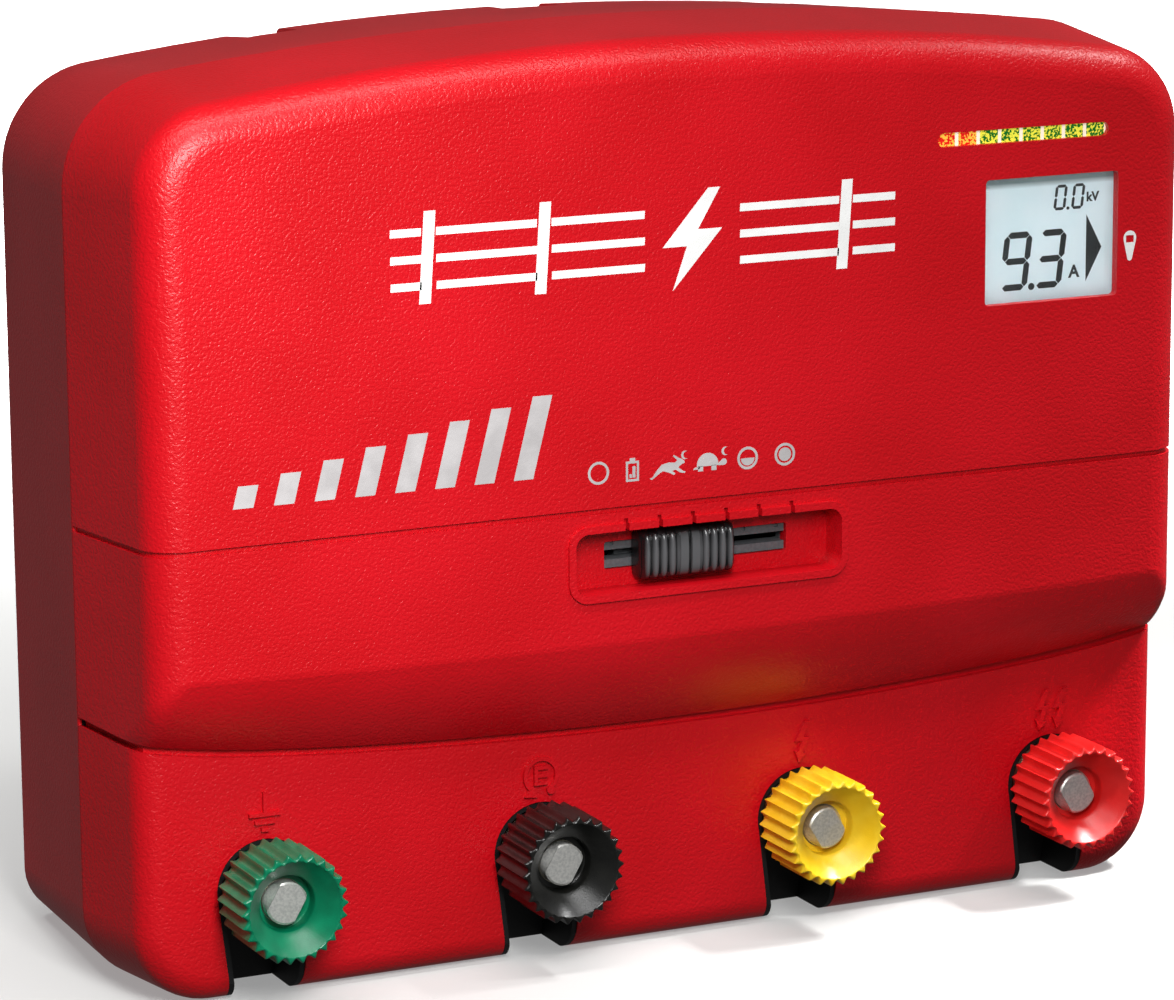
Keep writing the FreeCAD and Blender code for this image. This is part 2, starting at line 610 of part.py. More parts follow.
def bent_lead(x, d_up, d_end, z_start, z_end, r, bend):
    """Wire that climbs at depth d_up, bends through a quarter turn and runs back to d_end."""
    up_end = z_end - bend
    mid = bend * (1 - math.sqrt(0.5))
    path = Part.Wire([
        Part.makeLine(V(x, yy(d_up), z_start), V(x, yy(d_up), up_end)),
        Part.Arc(V(x, yy(d_up), up_end), V(x, yy(d_up - mid), z_end - mid),
                 V(x, yy(d_up - bend), z_end)).toShape(),
        Part.makeLine(V(x, yy(d_up - bend), z_end), V(x, yy(d_end), z_end))])
    ring = Part.Wire(Part.makeCircle(r, V(x, yy(d_up), z_start), V(0, 0, 1)))
    return path.makePipeShell([ring], True, False)


def inlet_leads():
    """Two insulated wires from the inlet pins to the main board."""
    end = MAIN_D + BOARD_T
    return group([bent_lead(INLET_X + dx, INLET_D, end, 27.0, 70.0, 1.3, LEAD_BEND_R) for dx in (-5.0, 5.0)])


# ---- terminals -----------------------------------------------------------------------------------
def terminal_studs():
    """Four M10 studs with two flats at the tip, fixed through the terminal block."""
    out = []
    for x, lean in zip(KNOB_X, STUD_FLAT_LEAN):
        stud = rod(x, KNOB_Z, STUD_R, WELL_BACK_D - 14.0, STUD_END_D)
        stud = stud.makeChamfer(0.4, front_rim(stud, STUD_END_D))
        for side in (-1, 1):
            wide = box(x + side * (STUD_FLAT + 2.0) - 2.0, x + side * (STUD_FLAT + 2.0) + 2.0,
                       STUD_END_D - 2.4, STUD_END_D + 1.0, KNOB_Z - 6.0, KNOB_Z + 6.0)
            wide.rotate(V(x, 0, KNOB_Z), V(0, 1, 0), lean)
            stud = stud.cut(wide)
        out.append(stud)
    return group(out)


def stud_seats():
    """Four plated brass seats in the wells; the fence wire is clamped against them."""
    out = []
    for x in KNOB_X:
        seat = rod(x, KNOB_Z, SEAT_R, WELL_BACK_D, SEAT_END_D)
        out.append(seat.cut(rod(x, KNOB_Z, STUD_R, WELL_BACK_D - 1.0, SEAT_END_D + 1.0)))
    return group(out)


def stud_nuts():
    """Hexagon nuts that hold the studs and the ring lugs behind the panel."""
    back = WELL_BACK_D - WELL_FLOOR - LUG_T
    out = []
    for x in KNOB_X:
        nut = hexagon(x, KNOB_Z, NUT_AF, back - NUT_T, back)
        out.append(nut.cut(rod(x, KNOB_Z, STUD_R, back - NUT_T - 1.0, back + 1.0)))
    return group(out)


def ring_lugs():
    """Tinned ring lugs between the nuts and the terminal block, each with a crimp barrel."""
    front = WELL_BACK_D - WELL_FLOOR
    out = []
    for x in KNOB_X:
        plate = join([rod(x, KNOB_Z, 9.0, front - LUG_T, front),
                      box(x - 3.2, x + 3.2, front - LUG_T, front, KNOB_Z + 6.0, KNOB_Z + 14.0)])
        barrel = post(x, front - 2.6, 2.6, KNOB_Z + 13.0, KNOB_Z + 22.0)
        lug = join([plate, barrel])
        lug = lug.cut([rod(x, KNOB_Z, STUD_R, front - 3.0, front + 1.0),
                       post(x, front - 2.6, LEAD_R, KNOB_Z + 12.0, KNOB_Z + 23.0)])
        out.append(lug)
    return group(out)


def output_leads():
    """Four insulated leads from the lugs back to the main board."""
    d_up = WELL_BACK_D - WELL_FLOOR - 2.6
    end = MAIN_D + BOARD_T
    return group([bent_lead(x, d_up, end, KNOB_Z + 14.0, LEAD_Z, LEAD_R, LEAD_BEND_R) for x in KNOB_X])


def clamp_washer(x):
    """Plain washer that presses the fence wire on the seat."""
    d0 = SEAT_END_D + FACE_GAP
    disc = rod(x, KNOB_Z, WASHER_R, d0, d0 + WASHER_T)
    return disc.cut(rod(x, KNOB_Z, STUD_R + 0.4, d0 - 1.0, d0 + WASHER_T + 1.0))


def knob_insert(x):
    """Brass insert with the internal thread bore, moulded into the knob."""
    d0 = SEAT_END_D + 2 * FACE_GAP + WASHER_T
    body = join([rod(x, KNOB_Z, INSERT_R, d0, INSERT_END_D - 5.0),
                 hexagon(x, KNOB_Z, INSERT_HEX, INSERT_END_D - 6.0, INSERT_END_D - 2.0)])
    return body.cut(rod(x, KNOB_Z, STUD_R + RUN_GAP, d0 - 1.0, INSERT_END_D))


def knob(x):
    """Fluted hand knob with a conical dish and a bore over the stud tip."""
    step = 2 * math.pi / KNOB_FLUTES
    y = yy(KNOB_BACK_D)

    def on(r, a):
        return V(x + r * math.cos(a), y, KNOB_Z + r * math.sin(a))
    arcs = []
    for k in range(KNOB_FLUTES):
        a = k * step
        arcs.append(Part.Arc(on(KNOB_R, a), on(KNOB_R - KNOB_FLUTE_DEEP, a + step / 2),
                             on(KNOB_R, a + step)).toShape())
    body = Part.Face(Part.Wire(arcs)).extrude(V(0, KNOB_BACK_D - TOTAL_D, 0))
    bore_r = STUD_R + DISH_GAP
    rim_r = KNOB_R - DISH_RIM
    dish = Part.makeCone(bore_r, rim_r, DISH_DEEP, V(x, yy(TOTAL_D - DISH_DEEP), KNOB_Z), V(0, -1, 0))
    bore = rod(x, KNOB_Z, bore_r, INSERT_END_D - 2.0, TOTAL_D - DISH_DEEP + 0.1)
    return body.cut([dish, bore, rod(x, KNOB_Z, INSERT_R, KNOB_BACK_D - 1.0, INSERT_END_D - 5.0),
                     hexagon(x, KNOB_Z, INSERT_HEX, INSERT_END_D - 6.0, INSERT_END_D - 2.0)])


# ---- mode slider ---------------------------------------------------------------------------------
def mode_slider():
    """Ribbed finger slide with a flat stem through the slot."""
    x = REST_X
    d0 = RECESS_FLOOR_D + SLIDE_GAP
    body = rounded(x, MODE_Z, SLIDER_HALF_X, SLIDER_HALF_Z, 1.6, d0, SLIDER_TOP_D - 1.0)
    ribs = []
    for side in (-1, 1):
        for k in range(4):
            rx = x + side * (4.3 + 2.15 * k)
            ribs.append(post(rx, SLIDER_TOP_D - 1.2, 1.0, MODE_Z - SLIDER_HALF_Z, MODE_Z + SLIDER_HALF_Z))
    pad = box(x - 2.4, x + 2.4, d0, SLIDER_TOP_D - 0.4, MODE_Z - SLIDER_HALF_Z, MODE_Z + SLIDER_HALF_Z)
    line = box(x - 0.35, x + 0.35, SLIDER_TOP_D - 0.8, SLIDER_TOP_D + 1.0, MODE_Z - 7.0, MODE_Z + 7.0)
    stem = box(x - STEM_HALF_X, x + STEM_HALF_X, TRACK_BACK_D + 3.6, d0 + 0.5,
               MODE_Z - STEM_HALF_Z, MODE_Z + STEM_HALF_Z)
    return join([body, pad, stem] + ribs).cut(line)


def slider_carriage():
    """Carriage clipped to the stem; it runs inside the track channel."""
    x = REST_X
    d0, d1 = TRACK_BACK_D + 2.6, TRACK_FACE_D - SLIDE_GAP
    body = box(x - 14.0, x + 14.0, d0, d1, MODE_Z - 8.7, MODE_Z + 6.0)
    ends = [box(x - 14.0, x - 11.5, d0, d1, MODE_Z + 5.0, MODE_Z + 8.7),
            box(x + 11.5, x + 14.0, d0, d1, MODE_Z + 5.0, MODE_Z + 8.7)]
    stem = box(x - STEM_HALF_X, x + STEM_HALF_X, TRACK_BACK_D + 3.6, d1 + 1.0,
               MODE_Z - STEM_HALF_Z, MODE_Z + STEM_HALF_Z)
    return join([body] + ends).cut(stem)


def detent_spring():
    """Bowed steel leaf between the carriage ends, with its crest under the track notches."""
    x = REST_X
    d0, d1 = TRACK_BACK_D + 3.2, TRACK_FACE_D - SLIDE_GAP - 0.6
    z0 = MODE_Z + 6.0
    points = [(-11.5, 0.0), (-7.0, 0.0), (-1.2, 2.3), (0.0, 2.6), (1.2, 2.3), (7.0, 0.0), (11.5, 0.0),
              (11.5, 0.3), (7.1, 0.3), (1.2, 2.6), (0.0, 2.9), (-1.2, 2.6), (-7.1, 0.3), (-11.5, 0.3)]
    return prism([(x + px, z0 + pz) for px, pz in points], d0, d1)


def slider_contact():
    """Two-finger wiper on the rear of the carriage."""
    x = REST_X
    d1 = TRACK_BACK_D + 2.6
    plate = box(x - 6.0, x + 6.0, d1 - 0.4, d1, MODE_Z - 6.0, MODE_Z + 4.0)
    fingers = []
    for dz in (-4.5, 1.0):
        fingers.append(box(x - 6.0, x - 1.0, d1 - 0.8, d1 - 0.4, MODE_Z + dz, MODE_Z + dz + 2.0))
        fingers.append(box(x - 3.0, x - 1.0, d1 - 2.2, d1 - 0.8, MODE_Z + dz, MODE_Z + dz + 2.0))
    return join([plate] + fingers)


def slider_track():
    """Dark guide behind the slot, with the six detent notches in its upper rail."""
    face_d = RECESS_FLOOR_D - 3.0
    x = MODE_X
    body = box(x - TRACK_HALF_X, x + TRACK_HALF_X, TRACK_BACK_D, face_d,
               MODE_Z - TRACK_HALF_Z, MODE_Z + TRACK_HALF_Z)
    room = box(x - TRACK_HALF_X + 2.0, x + TRACK_HALF_X - 2.0, TRACK_BACK_D - 1.0, TRACK_FACE_D,
               MODE_Z - TRACK_HALF_Z + 2.2, MODE_Z + TRACK_HALF_Z - 2.2)
    land_d = RECESS_FLOOR_D - LAND_DROP
    land = box(x - SLOT_HALF_X + 0.2, x + SLOT_HALF_X - 0.2, face_d - 1.0, land_d,
               MODE_Z - SLOT_HALF_Z + 0.2, MODE_Z + SLOT_HALF_Z - 0.2)
    slot_z = STEM_HALF_Z + STEM_GAP
    slot = box(x - SLOT_HALF_X, x + SLOT_HALF_X, TRACK_FACE_D - 1.0, land_d + 1.0,
               MODE_Z - slot_z, MODE_Z + slot_z)
    ears = [box(x - 49.0, x - 41.0, TRACK_FACE_D, face_d, MODE_Z - 4.0, MODE_Z + 4.0),
            box(x + 41.0, x + 49.0, TRACK_FACE_D, face_d, MODE_Z - 4.0, MODE_Z + 4.0)]
    holes = [rod(x + dx, MODE_Z, 1.3, TRACK_FACE_D - 1.0, face_d + 1.0)
             for dx in (-TRACK_SCREW_X, TRACK_SCREW_X)]
    cuts = [room, slot] + holes
    for k in range(MODE_STEPS):
        nx = MODE_X + (k - (MODE_STEPS - 1) / 2) * MODE_PITCH
        cuts.append(prism([(nx - 1.2, MODE_Z + 8.9), (nx, MODE_Z + 9.9), (nx + 1.2, MODE_Z + 8.9)],
                          TRACK_BACK_D - 1.0, TRACK_FACE_D))
        cuts.append(box(nx - 0.5, nx + 0.5, land_d - 0.5, land_d + 1.0, MODE_Z + 2.2, MODE_Z + SLOT_HALF_Z))
    return join([body, land] + ears).cut(cuts)


def pan_screw(x, z, r, head_r, head_d0, head_t, d1):
    """Pan-head screw facing rearward: head at head_d0, tip at depth d1."""
    head = rod(x, z, head_r, head_d0, head_d0 + head_t)
    slot = box(x - head_r - 1.0, x + head_r + 1.0, head_d0 - 1.0, head_d0 + head_t * 0.45, z - 0.35, z + 0.35)
    return join([head, rod(x, z, r, head_d0 + head_t * 0.5, d1)]).cut(slot)


def track_screws():
    """Two small screws that hold the track behind the recess floor."""
    return group([pan_screw(MODE_X + dx, MODE_Z, 1.1, 2.4, TRACK_FACE_D - 1.8, 1.8, RECESS_FLOOR_D)
                  for dx in (-TRACK_SCREW_X, TRACK_SCREW_X)])


# ---- display -------------------------------------------------------------------------------------
def lcd_window():
    """Clear lens seated on the ledge behind the window opening."""
    return rounded(LCD_X, LCD_Z, LCD_HALF_X + LCD_LEDGE, LCD_HALF_Z + LCD_LEDGE, 1.5, LENS_FACE_D - LENS_T,
                   LENS_FACE_D)


def lcd_module():
    """Liquid crystal glass with its frame."""
    d1 = LENS_FACE_D - LENS_T
    return box(LCD_X - MODULE_HALF_X, LCD_X + MODULE_HALF_X, d1 - MODULE_T, d1,
               LCD_Z - MODULE_HALF_Z, LCD_Z + MODULE_HALF_Z)


def lcd_holder():
    """Light frame that carries the display on its board."""
    d1 = LENS_FACE_D - LENS_T - MODULE_T
    d0 = DISPLAY_D + BOARD_T
    half_x, half_z = MODULE_HALF_X, MODULE_HALF_Z
    ring = box(LCD_X - half_x, LCD_X + half_x, d0, d1, LCD_Z - half_z, LCD_Z + half_z)
    half_x, half_z = half_x - 2.0, half_z - 2.0
    return ring.cut(box(LCD_X - half_x, LCD_X + half_x, d0 - 1.0, d1 + 1.0, LCD_Z - half_z, LCD_Z + half_z))


def led_light_pipe():
    """Clear bar that fills the slot and guides the light of the row."""
    nose = stadium(LED_X, LED_Z, LED_HALF, LED_R, FRONT_D - WALL, FRONT_D - LED_SINK)
    base = box(LED_X - LED_HALF - 1.0, LED_X + LED_HALF + 1.0, DISPLAY_D + BOARD_T + 2.4, FRONT_D - WALL,
               LED_Z - 2.6, LED_Z + 2.6)
    return join([nose, base])


def led_array():
    """Row of light-emitting diodes on the display board."""
    pitch = 2 * LED_HALF / LED_COUNT
    d0 = DISPLAY_D + BOARD_T
    row = []
    for k in range(LED_COUNT):
        x = LED_X + (k - (LED_COUNT - 1) / 2) * pitch
        row.append(box(x - 2.0, x + 2.0, d0, d0 + 2.4, LED_Z - 1.5, LED_Z + 1.5))
    return group(row)


def display_board():
    """Circuit board behind the display, the light row and the slider."""
    d0, d1 = DISPLAY_D, DISPLAY_D + BOARD_T
    board = box(DISPLAY_X0, DISPLAY_X1, d0, d1, DISPLAY_Z0, DISPLAY_Z1)
    for x, z in DISPLAY_SCREWS:
        board = board.cut(rod(x, z, 1.3, d0 - 1.0, d1 + 1.0))
    return board


def display_screws():
    """Four small screws through the display board."""
    return group([pan_screw(x, z, 1.3, 2.6, DISPLAY_D - 1.9, 1.9, DISPLAY_D + 12.0)
                  for x, z in DISPLAY_SCREWS])


def ribbon_connectors():
    """Shrouded headers at both ends of the ribbon cable."""
    d0 = MAIN_D + BOARD_T
    low = box(RIBBON_X - 11.0, RIBBON_X + 11.0, d0, d0 + 9.0, RIBBON_Z0 - 4.0, RIBBON_Z0 + 4.0)
    high = box(RIBBON_X - 11.0, RIBBON_X + 11.0, DISPLAY_D - 7.0, DISPLAY_D, RIBBON_Z1 - 4.0, RIBBON_Z1 + 4.0)
    return group([low, high])


def ribbon_cable():
    """Flat cable between the boards: two straight runs joined by a pair of tangent arcs."""
    half_t, half_w = 0.5, 8.0
    d0, d1 = MAIN_D + BOARD_T + 9.0, DISPLAY_D - 7.0
    rise = RIBBON_Z1 - RIBBON_Z0
    turn = math.acos(1 - rise / (2 * RIBBON_BEND_R))
    reach = 2 * RIBBON_BEND_R * math.sin(turn)
    s0 = (d0 + d1 - reach) / 2

    def side(offset):
        r0, r1 = RIBBON_BEND_R - offset, RIBBON_BEND_R + offset
        c0 = (s0, RIBBON_Z0 + RIBBON_BEND_R)
        c1 = (s0 + reach, RIBBON_Z1 - RIBBON_BEND_R)
        pts = [(d0, RIBBON_Z0 + offset), (s0, RIBBON_Z0 + offset),
               (c0[0] + r0 * math.sin(turn / 2), c0[1] - r0 * math.cos(turn / 2)),
               (c0[0] + r0 * math.sin(turn), c0[1] - r0 * math.cos(turn)),
               (c1[0] - r1 * math.sin(turn / 2), c1[1] + r1 * math.cos(turn / 2)),
               (c1[0], RIBBON_Z1 + offset), (d1, RIBBON_Z1 + offset)]
        return [V(RIBBON_X - half_w, yy(d), z) for d, z in pts]
    a, b = side(-half_t), side(half_t)
    edges = []
    for p in (a, b):
        edges += [Part.makeLine(p[0], p[1]), Part.Arc(p[1], p[2], p[3]).toShape(),
                  Part.Arc(p[3], p[4], p[5]).toShape(), Part.makeLine(p[5], p[6])]
    edges += [Part.makeLine(a[0], b[0]), Part.makeLine(a[6], b[6])]
    wire = Part.Wire(Part.sortEdges(edges)[0])
    return Part.Face(wire).extrude(V(2 * half_w, 0, 0))


# ---- main board and its parts --------------------------------------------------------------------
def main_board():
    """Power board on the rear case standoffs."""
    board = box(-MAIN_HALF_X, MAIN_HALF_X, MAIN_D, MAIN_D + BOARD_T, MAIN_Z0, MAIN_Z1)
    for x, z in MAIN_SCREWS:
        board = board.cut(rod(x, z, 1.5, MAIN_D - 1.0, MAIN_D + BOARD_T + 1.0))
    return board


def board_screws():
    """Six screws that hold the main board, heads to the front."""
    out = []
    top = MAIN_D + BOARD_T
    for x, z in MAIN_SCREWS:
        head = rod(x, z, 2.8, top, top + 2.0)
        slot = box(x - 4.0, x + 4.0, top + 1.1, top + 3.0, z - 0.4, z + 0.4)
        out.append(join([head, rod(x, z, 1.5, 4.5, top + 1.0)]).cut(slot))
    return group(out)


def storage_capacitors():
    """Three film capacitors that hold the pulse energy."""
    out = []
    for x in CAP_X:
        can = rod(x, CAP_Z, CAP_R, MAIN_D + BOARD_T, CAP_END_D)
        out.append(can.makeFillet(1.5, front_rim(can, CAP_END_D)))
    return group(out)


def capacitor_strap():
    """Steel strap over the capacitors with a leg at each end."""
    x0, x1 = CAP_X[0] - CAP_R - 2.5, CAP_X[-1] + CAP_R + 2.5
    z0, z1 = CAP_Z - 5.0, CAP_Z + 5.0
    low = MAIN_D + BOARD_T
    bar = box(x0, x1, CAP_END_D, CAP_END_D + 1.2, z0, z1)
    legs = [box(x0, x0 + 1.2, low, CAP_END_D + 1.0, z0, z1), box(x1 - 1.2, x1, low, CAP_END_D + 1.0, z0, z1)]
    return join([bar] + legs)


def transformer_core():
    """Stacked iron core with two windows."""
    x, z = CORE_X, CORE_Z
    block = box(x - CORE_HALF_X, x + CORE_HALF_X, CORE_D0, CORE_D1, z - CORE_HALF_Z, z + CORE_HALF_Z)
    cuts = [box(x + s * 18.0 - 6.0, x + s * 18.0 + 6.0, CORE_D0 - 1.0, CORE_D1 + 1.0,
                z - WINDOW_HALF_Z, z + WINDOW_HALF_Z) for s in (-1, 1)]
    for dx in (-BOLT_X, BOLT_X):
        for dz in (-BOLT_Z, BOLT_Z):
            cuts.append(rod(x + dx, z + dz, 2.0, CORE_D0 - 1.0, CORE_D1 + 1.0))
    return block.cut(cuts)


def transformer_bobbin():
    """Moulded bobbin round the middle leg."""
    x, z = CORE_X, CORE_Z
    half = LEG_HALF + 1.2
    top = WINDOW_HALF_Z
    tube = box(x - half, x + half, CORE_D0 - 1.2, CORE_D1 + 1.2, z - top, z + top)
    cheeks = [box(x - 24.0, x + 24.0, CORE_D0 - 9.0, CORE_D1 + 9.0, z - top, z - top + 1.2),
              box(x - 24.0, x + 24.0, CORE_D0 - 9.0, CORE_D1 + 9.0, z + top - 1.2, z + top)]
    leg = box(x - LEG_HALF, x + LEG_HALF, CORE_D0, CORE_D1, z - top - 1.0, z + top + 1.0)
    return join([tube] + cheeks).cut(leg)


def transformer_winding():
    """Wound copper coil, primary and secondary under one tape wrap."""
    x, z = CORE_X, CORE_Z
    half = LEG_HALF + 1.2
    top = WINDOW_HALF_Z - 1.2
    coil = box(x - 23.2, x + 23.2, CORE_D0 - 8.4, CORE_D1 + 8.4, z - top, z + top)
    upright = [e for e in coil.Edges if abs(e.tangentAt(e.FirstParameter).z) > 0.99]
    coil = coil.makeFillet(7.0, upright)
    return coil.cut(box(x - half, x + half, CORE_D0 - 1.2, CORE_D1 + 1.2, z - 20.0, z + 20.0))


def transformer_brackets():
    """Two angle brackets from the core ends to the board."""
    x, z = CORE_X, CORE_Z
    low = MAIN_D + BOARD_T
    out = []
    for s in (-1, 1):
        za, zb = sorted((z + s * CORE_HALF_Z, z + s * (CORE_HALF_Z + 1.5)))
        wall = box(x - 34.0, x + 34.0, low, CORE_D1, za, zb)
        fa, fb = sorted((z + s * (CORE_HALF_Z + 1.0), z + s * (FOOT_Z + 4.5)))
        foot = box(x - 34.0, x + 34.0, low, low + 1.5, fa, fb)
        ta, tb = sorted((z + s * (BOLT_Z - 3.0), z + s * (CORE_HALF_Z + 1.5)))
        tab = box(x - 34.0, x + 34.0, CORE_D0 - 1.2, CORE_D0, ta, tb)
        holes = [rod(x + dx, z + s * FOOT_Z, 2.0, low - 1.0, low + 3.0) for dx in (-FOOT_X, FOOT_X)]
        holes += [rod(x + dx, z + s * BOLT_Z, 2.0, CORE_D0 - 2.0, CORE_D0 + 1.0) for dx in (-BOLT_X, BOLT_X)]
        out.append(join([wall, foot, tab]).cut(holes))
    return group(out)


def transformer_bolts():
    """Four core bolts and four foot screws."""
    x, z = CORE_X, CORE_Z
    low = MAIN_D + BOARD_T
    out = []
    for dx in (-BOLT_X, BOLT_X):
        for dz in (-BOLT_Z, BOLT_Z):
            out.append(join([rod(x + dx, z + dz, 2.0, CORE_D0 - 5.0, CORE_D1 + 1.0),
                             hexagon(x + dx, z + dz, 7.0, CORE_D1, CORE_D1 + 2.8),
                             hexagon(x + dx, z + dz, 7.0, CORE_D0 - 4.4, CORE_D0 - 1.2)]))
    for dx in (-FOOT_X, FOOT_X):
        for s in (-1, 1):
            out.append(join([rod(x + dx, z + s * FOOT_Z, 2.0, low, low + 3.0),
                             rod(x + dx, z + s * FOOT_Z, 3.2, low + 1.5, low + 3.7)]))
    return group(out)


def charge_core():
    """Small ferrite core of the charging converter."""
    x, z, low = 12.0, 94.0, MAIN_D + BOARD_T
    block = box(x - 16.0, x + 16.0, low + 6.0, low + 20.0, z - 14.0, z + 14.0)
    return block.cut([box(x + s * 9.0 - 4.0, x + s * 9.0 + 4.0, low, low + 30.0, z - 9.0, z + 9.0)
                      for s in (-1, 1)])


def charge_winding():
    """Winding of the charging converter with its base."""
    x, z, low = 12.0, 94.0, MAIN_D + BOARD_T
    coil = box(x - 12.0, x + 12.0, low, low + 27.0, z - 9.0, z + 9.0)
    return coil.cut(box(x - 5.0, x + 5.0, low + 6.0, low + 20.0, z - 10.0, z + 10.0))


def heat_sink():
    """Finned aluminium heat sink standing on the board."""
    low = MAIN_D + BOARD_T
    back = box(46.0, 90.0, low, low + 36.0, 92.0, 95.5)
    fins = [box(46.0 + 6.0 * k, 48.0 + 6.0 * k, low, low + 36.0, 95.5, 110.0) for k in range(8)]
    return join([back] + fins).cut(post(68.0, low + 22.0, 1.5, 90.0, 97.0))


def thyristor():
    """Power switch clamped to the heat sink."""
    low = MAIN_D + BOARD_T
    body = box(60.0, 76.0, low + 8.0, low + 28.0, 87.0, 92.0)
    legs = [box(62.0 + 5.4 * k, 63.2 + 5.4 * k, low, low + 8.0, 89.0, 89.8) for k in range(3)]
    return join([body] + legs).cut(post(68.0, low + 22.0, 1.5, 86.0, 93.0))


def thyristor_screw():
    """Screw through the power switch into the heat sink."""
    d = MAIN_D + BOARD_T + 22.0
    return join([post(68.0, d, 1.5, 86.0, 95.5), post(68.0, d, 2.8, 84.6, 87.0)])


def fuse_clips():
    """Two sprung clips for the fuse."""
    low = MAIN_D + BOARD_T
    out = []
    for x in (-38.0, -20.0):
        base = box(x - 2.5, x + 2.5, low, low + 0.6, 74.0, 82.0)
        sides = [box(x - 2.5, x + 2.5, low, low + 8.0, 74.9, 75.5),
                 box(x - 2.5, x + 2.5, low, low + 8.0, 80.5, 81.1)]
        out.append(join([base] + sides))
    return group(out)


def fuse():
    """Glass tube fuse lying in the clips."""
    d = MAIN_D + BOARD_T + 4.2
    tube = Part.makeCylinder(2.3, 18.0, V(-38.0, yy(d), 78.0), V(1, 0, 0))
    caps = [Part.makeCylinder(2.5, 6.0, V(x, yy(d), 78.0), V(1, 0, 0)) for x in (-41.0, -23.0)]
    return join([tube] + caps)


def surge_arrestors():
    """Three gas discharge tubes between the output leads."""
    low = MAIN_D + BOARD_T
    return group([join([rod(x, 76.0, 4.0, low, low + 6.0), rod(x, 76.0, 3.2, low + 5.0, low + 8.0)])
                  for x in (-84.0, 84.0, 102.0)])


# ---- build ---------------------------------------------------------------------------------------
COLOURS = ("green", "black", "yellow", "red")


def build():
    """All nodes by name."""
    makers = (rear_case, front_cover, case_gasket, case_screws, power_inlet, inlet_pins, inlet_leads,
              terminal_block, terminal_studs, stud_seats, stud_nuts, ring_lugs, output_leads,
              mode_slider, slider_carriage, detent_spring, slider_contact, slider_track, track_screws,
              lcd_window, lcd_module, lcd_holder, led_light_pipe, led_array, display_board, display_screws,
              ribbon_connectors, ribbon_cable, main_board, board_screws, storage_capacitors, capacitor_strap,
              transformer_core, transformer_bobbin, transformer_winding, transformer_brackets,
              transformer_bolts, charge_core, charge_winding, heat_sink, thyristor, thyristor_screw,
              fuse_clips, fuse, surge_arrestors)
    nodes = {maker.__name__: maker() for maker in makers}
    for colour, x in zip(COLOURS, KNOB_X):
        nodes["knob_" + colour] = knob(x)
        nodes["insert_" + colour] = knob_insert(x)
        nodes["washer_" + colour] = clamp_washer(x)
    return nodes


os.makedirs("parts", exist_ok=True)
for name, shape in build().items():
    shape.exportStep("parts/" + name + ".step")
    print(name, len(shape.Solids), "solids, valid", shape.isValid())
print("output lead bend radius", LEAD_BEND_R, "ribbon bend radius", RIBBON_BEND_R)
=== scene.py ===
"""Electric fence charger: surfaces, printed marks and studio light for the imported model."""

import math

import bpy
import numpy as np
from mathutils import Matrix, Vector


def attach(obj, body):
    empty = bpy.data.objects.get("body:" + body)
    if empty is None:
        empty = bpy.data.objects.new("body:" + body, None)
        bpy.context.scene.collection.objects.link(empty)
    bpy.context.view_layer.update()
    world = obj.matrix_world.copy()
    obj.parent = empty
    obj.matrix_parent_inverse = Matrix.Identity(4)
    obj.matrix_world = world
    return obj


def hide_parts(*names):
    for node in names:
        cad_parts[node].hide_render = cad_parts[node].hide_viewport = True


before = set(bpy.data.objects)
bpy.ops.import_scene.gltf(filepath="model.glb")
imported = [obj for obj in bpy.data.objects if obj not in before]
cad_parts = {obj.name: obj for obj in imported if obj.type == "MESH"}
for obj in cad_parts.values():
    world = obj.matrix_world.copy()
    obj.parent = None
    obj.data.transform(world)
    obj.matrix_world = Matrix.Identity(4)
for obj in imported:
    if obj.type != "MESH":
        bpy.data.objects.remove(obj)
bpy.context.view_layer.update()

# Camera. A long lens from the front left, a little above the case, aimed at its middle.
# It stands 1.12 m away, so the edges run almost parallel.
MM = 0.001
AIM = Vector((-5.6, 0.0, 99.0)) * MM
DISTANCE = 1120.97
TURN, DROP, ROLL = math.radians(25.25), math.radians(11.99), math.radians(-0.39)
ahead = Vector((math.sin(TURN) * math.cos(DROP), math.cos(TURN) * math.cos(DROP), -math.sin(DROP)))
level = Vector((math.cos(TURN), -math.sin(TURN), 0.0))
upright = level.cross(ahead)
lens = bpy.data.cameras.new("camera")
lens.lens = 145.54
lens.clip_end = 20.0
camera = bpy.data.objects.new("camera", lens)
camera.matrix_world = Matrix.Translation(AIM - ahead * DISTANCE * MM) @ Matrix((
    level * math.cos(ROLL) + upright * math.sin(ROLL),
    upright * math.cos(ROLL) - level * math.sin(ROLL), -ahead)).transposed().to_4x4()
bpy.context.scene.collection.objects.link(camera)
bpy.context.scene.camera = camera

# Case halves. Moulded ABS shells, 3 mm thick, screwed together from the rear.
# The mould was spark eroded: shallow pits about 0.8 mm across, with a finer tooth over them.
GRAIN_MM = 0.8
TOOTH_MM = 0.38


def linear(code):
    """sRGB hex colour as linear red, green, blue and alpha."""
    parts = [int(code[k:k + 2], 16) / 255.0 for k in (0, 2, 4)]
    return tuple(p / 12.92 if p <= 0.04045 else ((p + 0.055) / 1.055) ** 2.4 for p in parts) + (1.0,)


def put(tree, kind, settings=(), **inputs):
    """Adds a shader node: settings are (property, value) pairs, inputs are values or linked sockets."""
    node = tree.nodes.new(kind)
    for key, value in settings:
        setattr(node, key, value)
    for key, value in inputs.items():
        socket = node.inputs[int(key[1:])] if key[1:].isdigit() else node.inputs[key.replace("_", " ")]
        if isinstance(value, bpy.types.NodeSocket):
            tree.links.new(value, socket)
        else:
            socket.default_value = value
    return node.outputs[0]


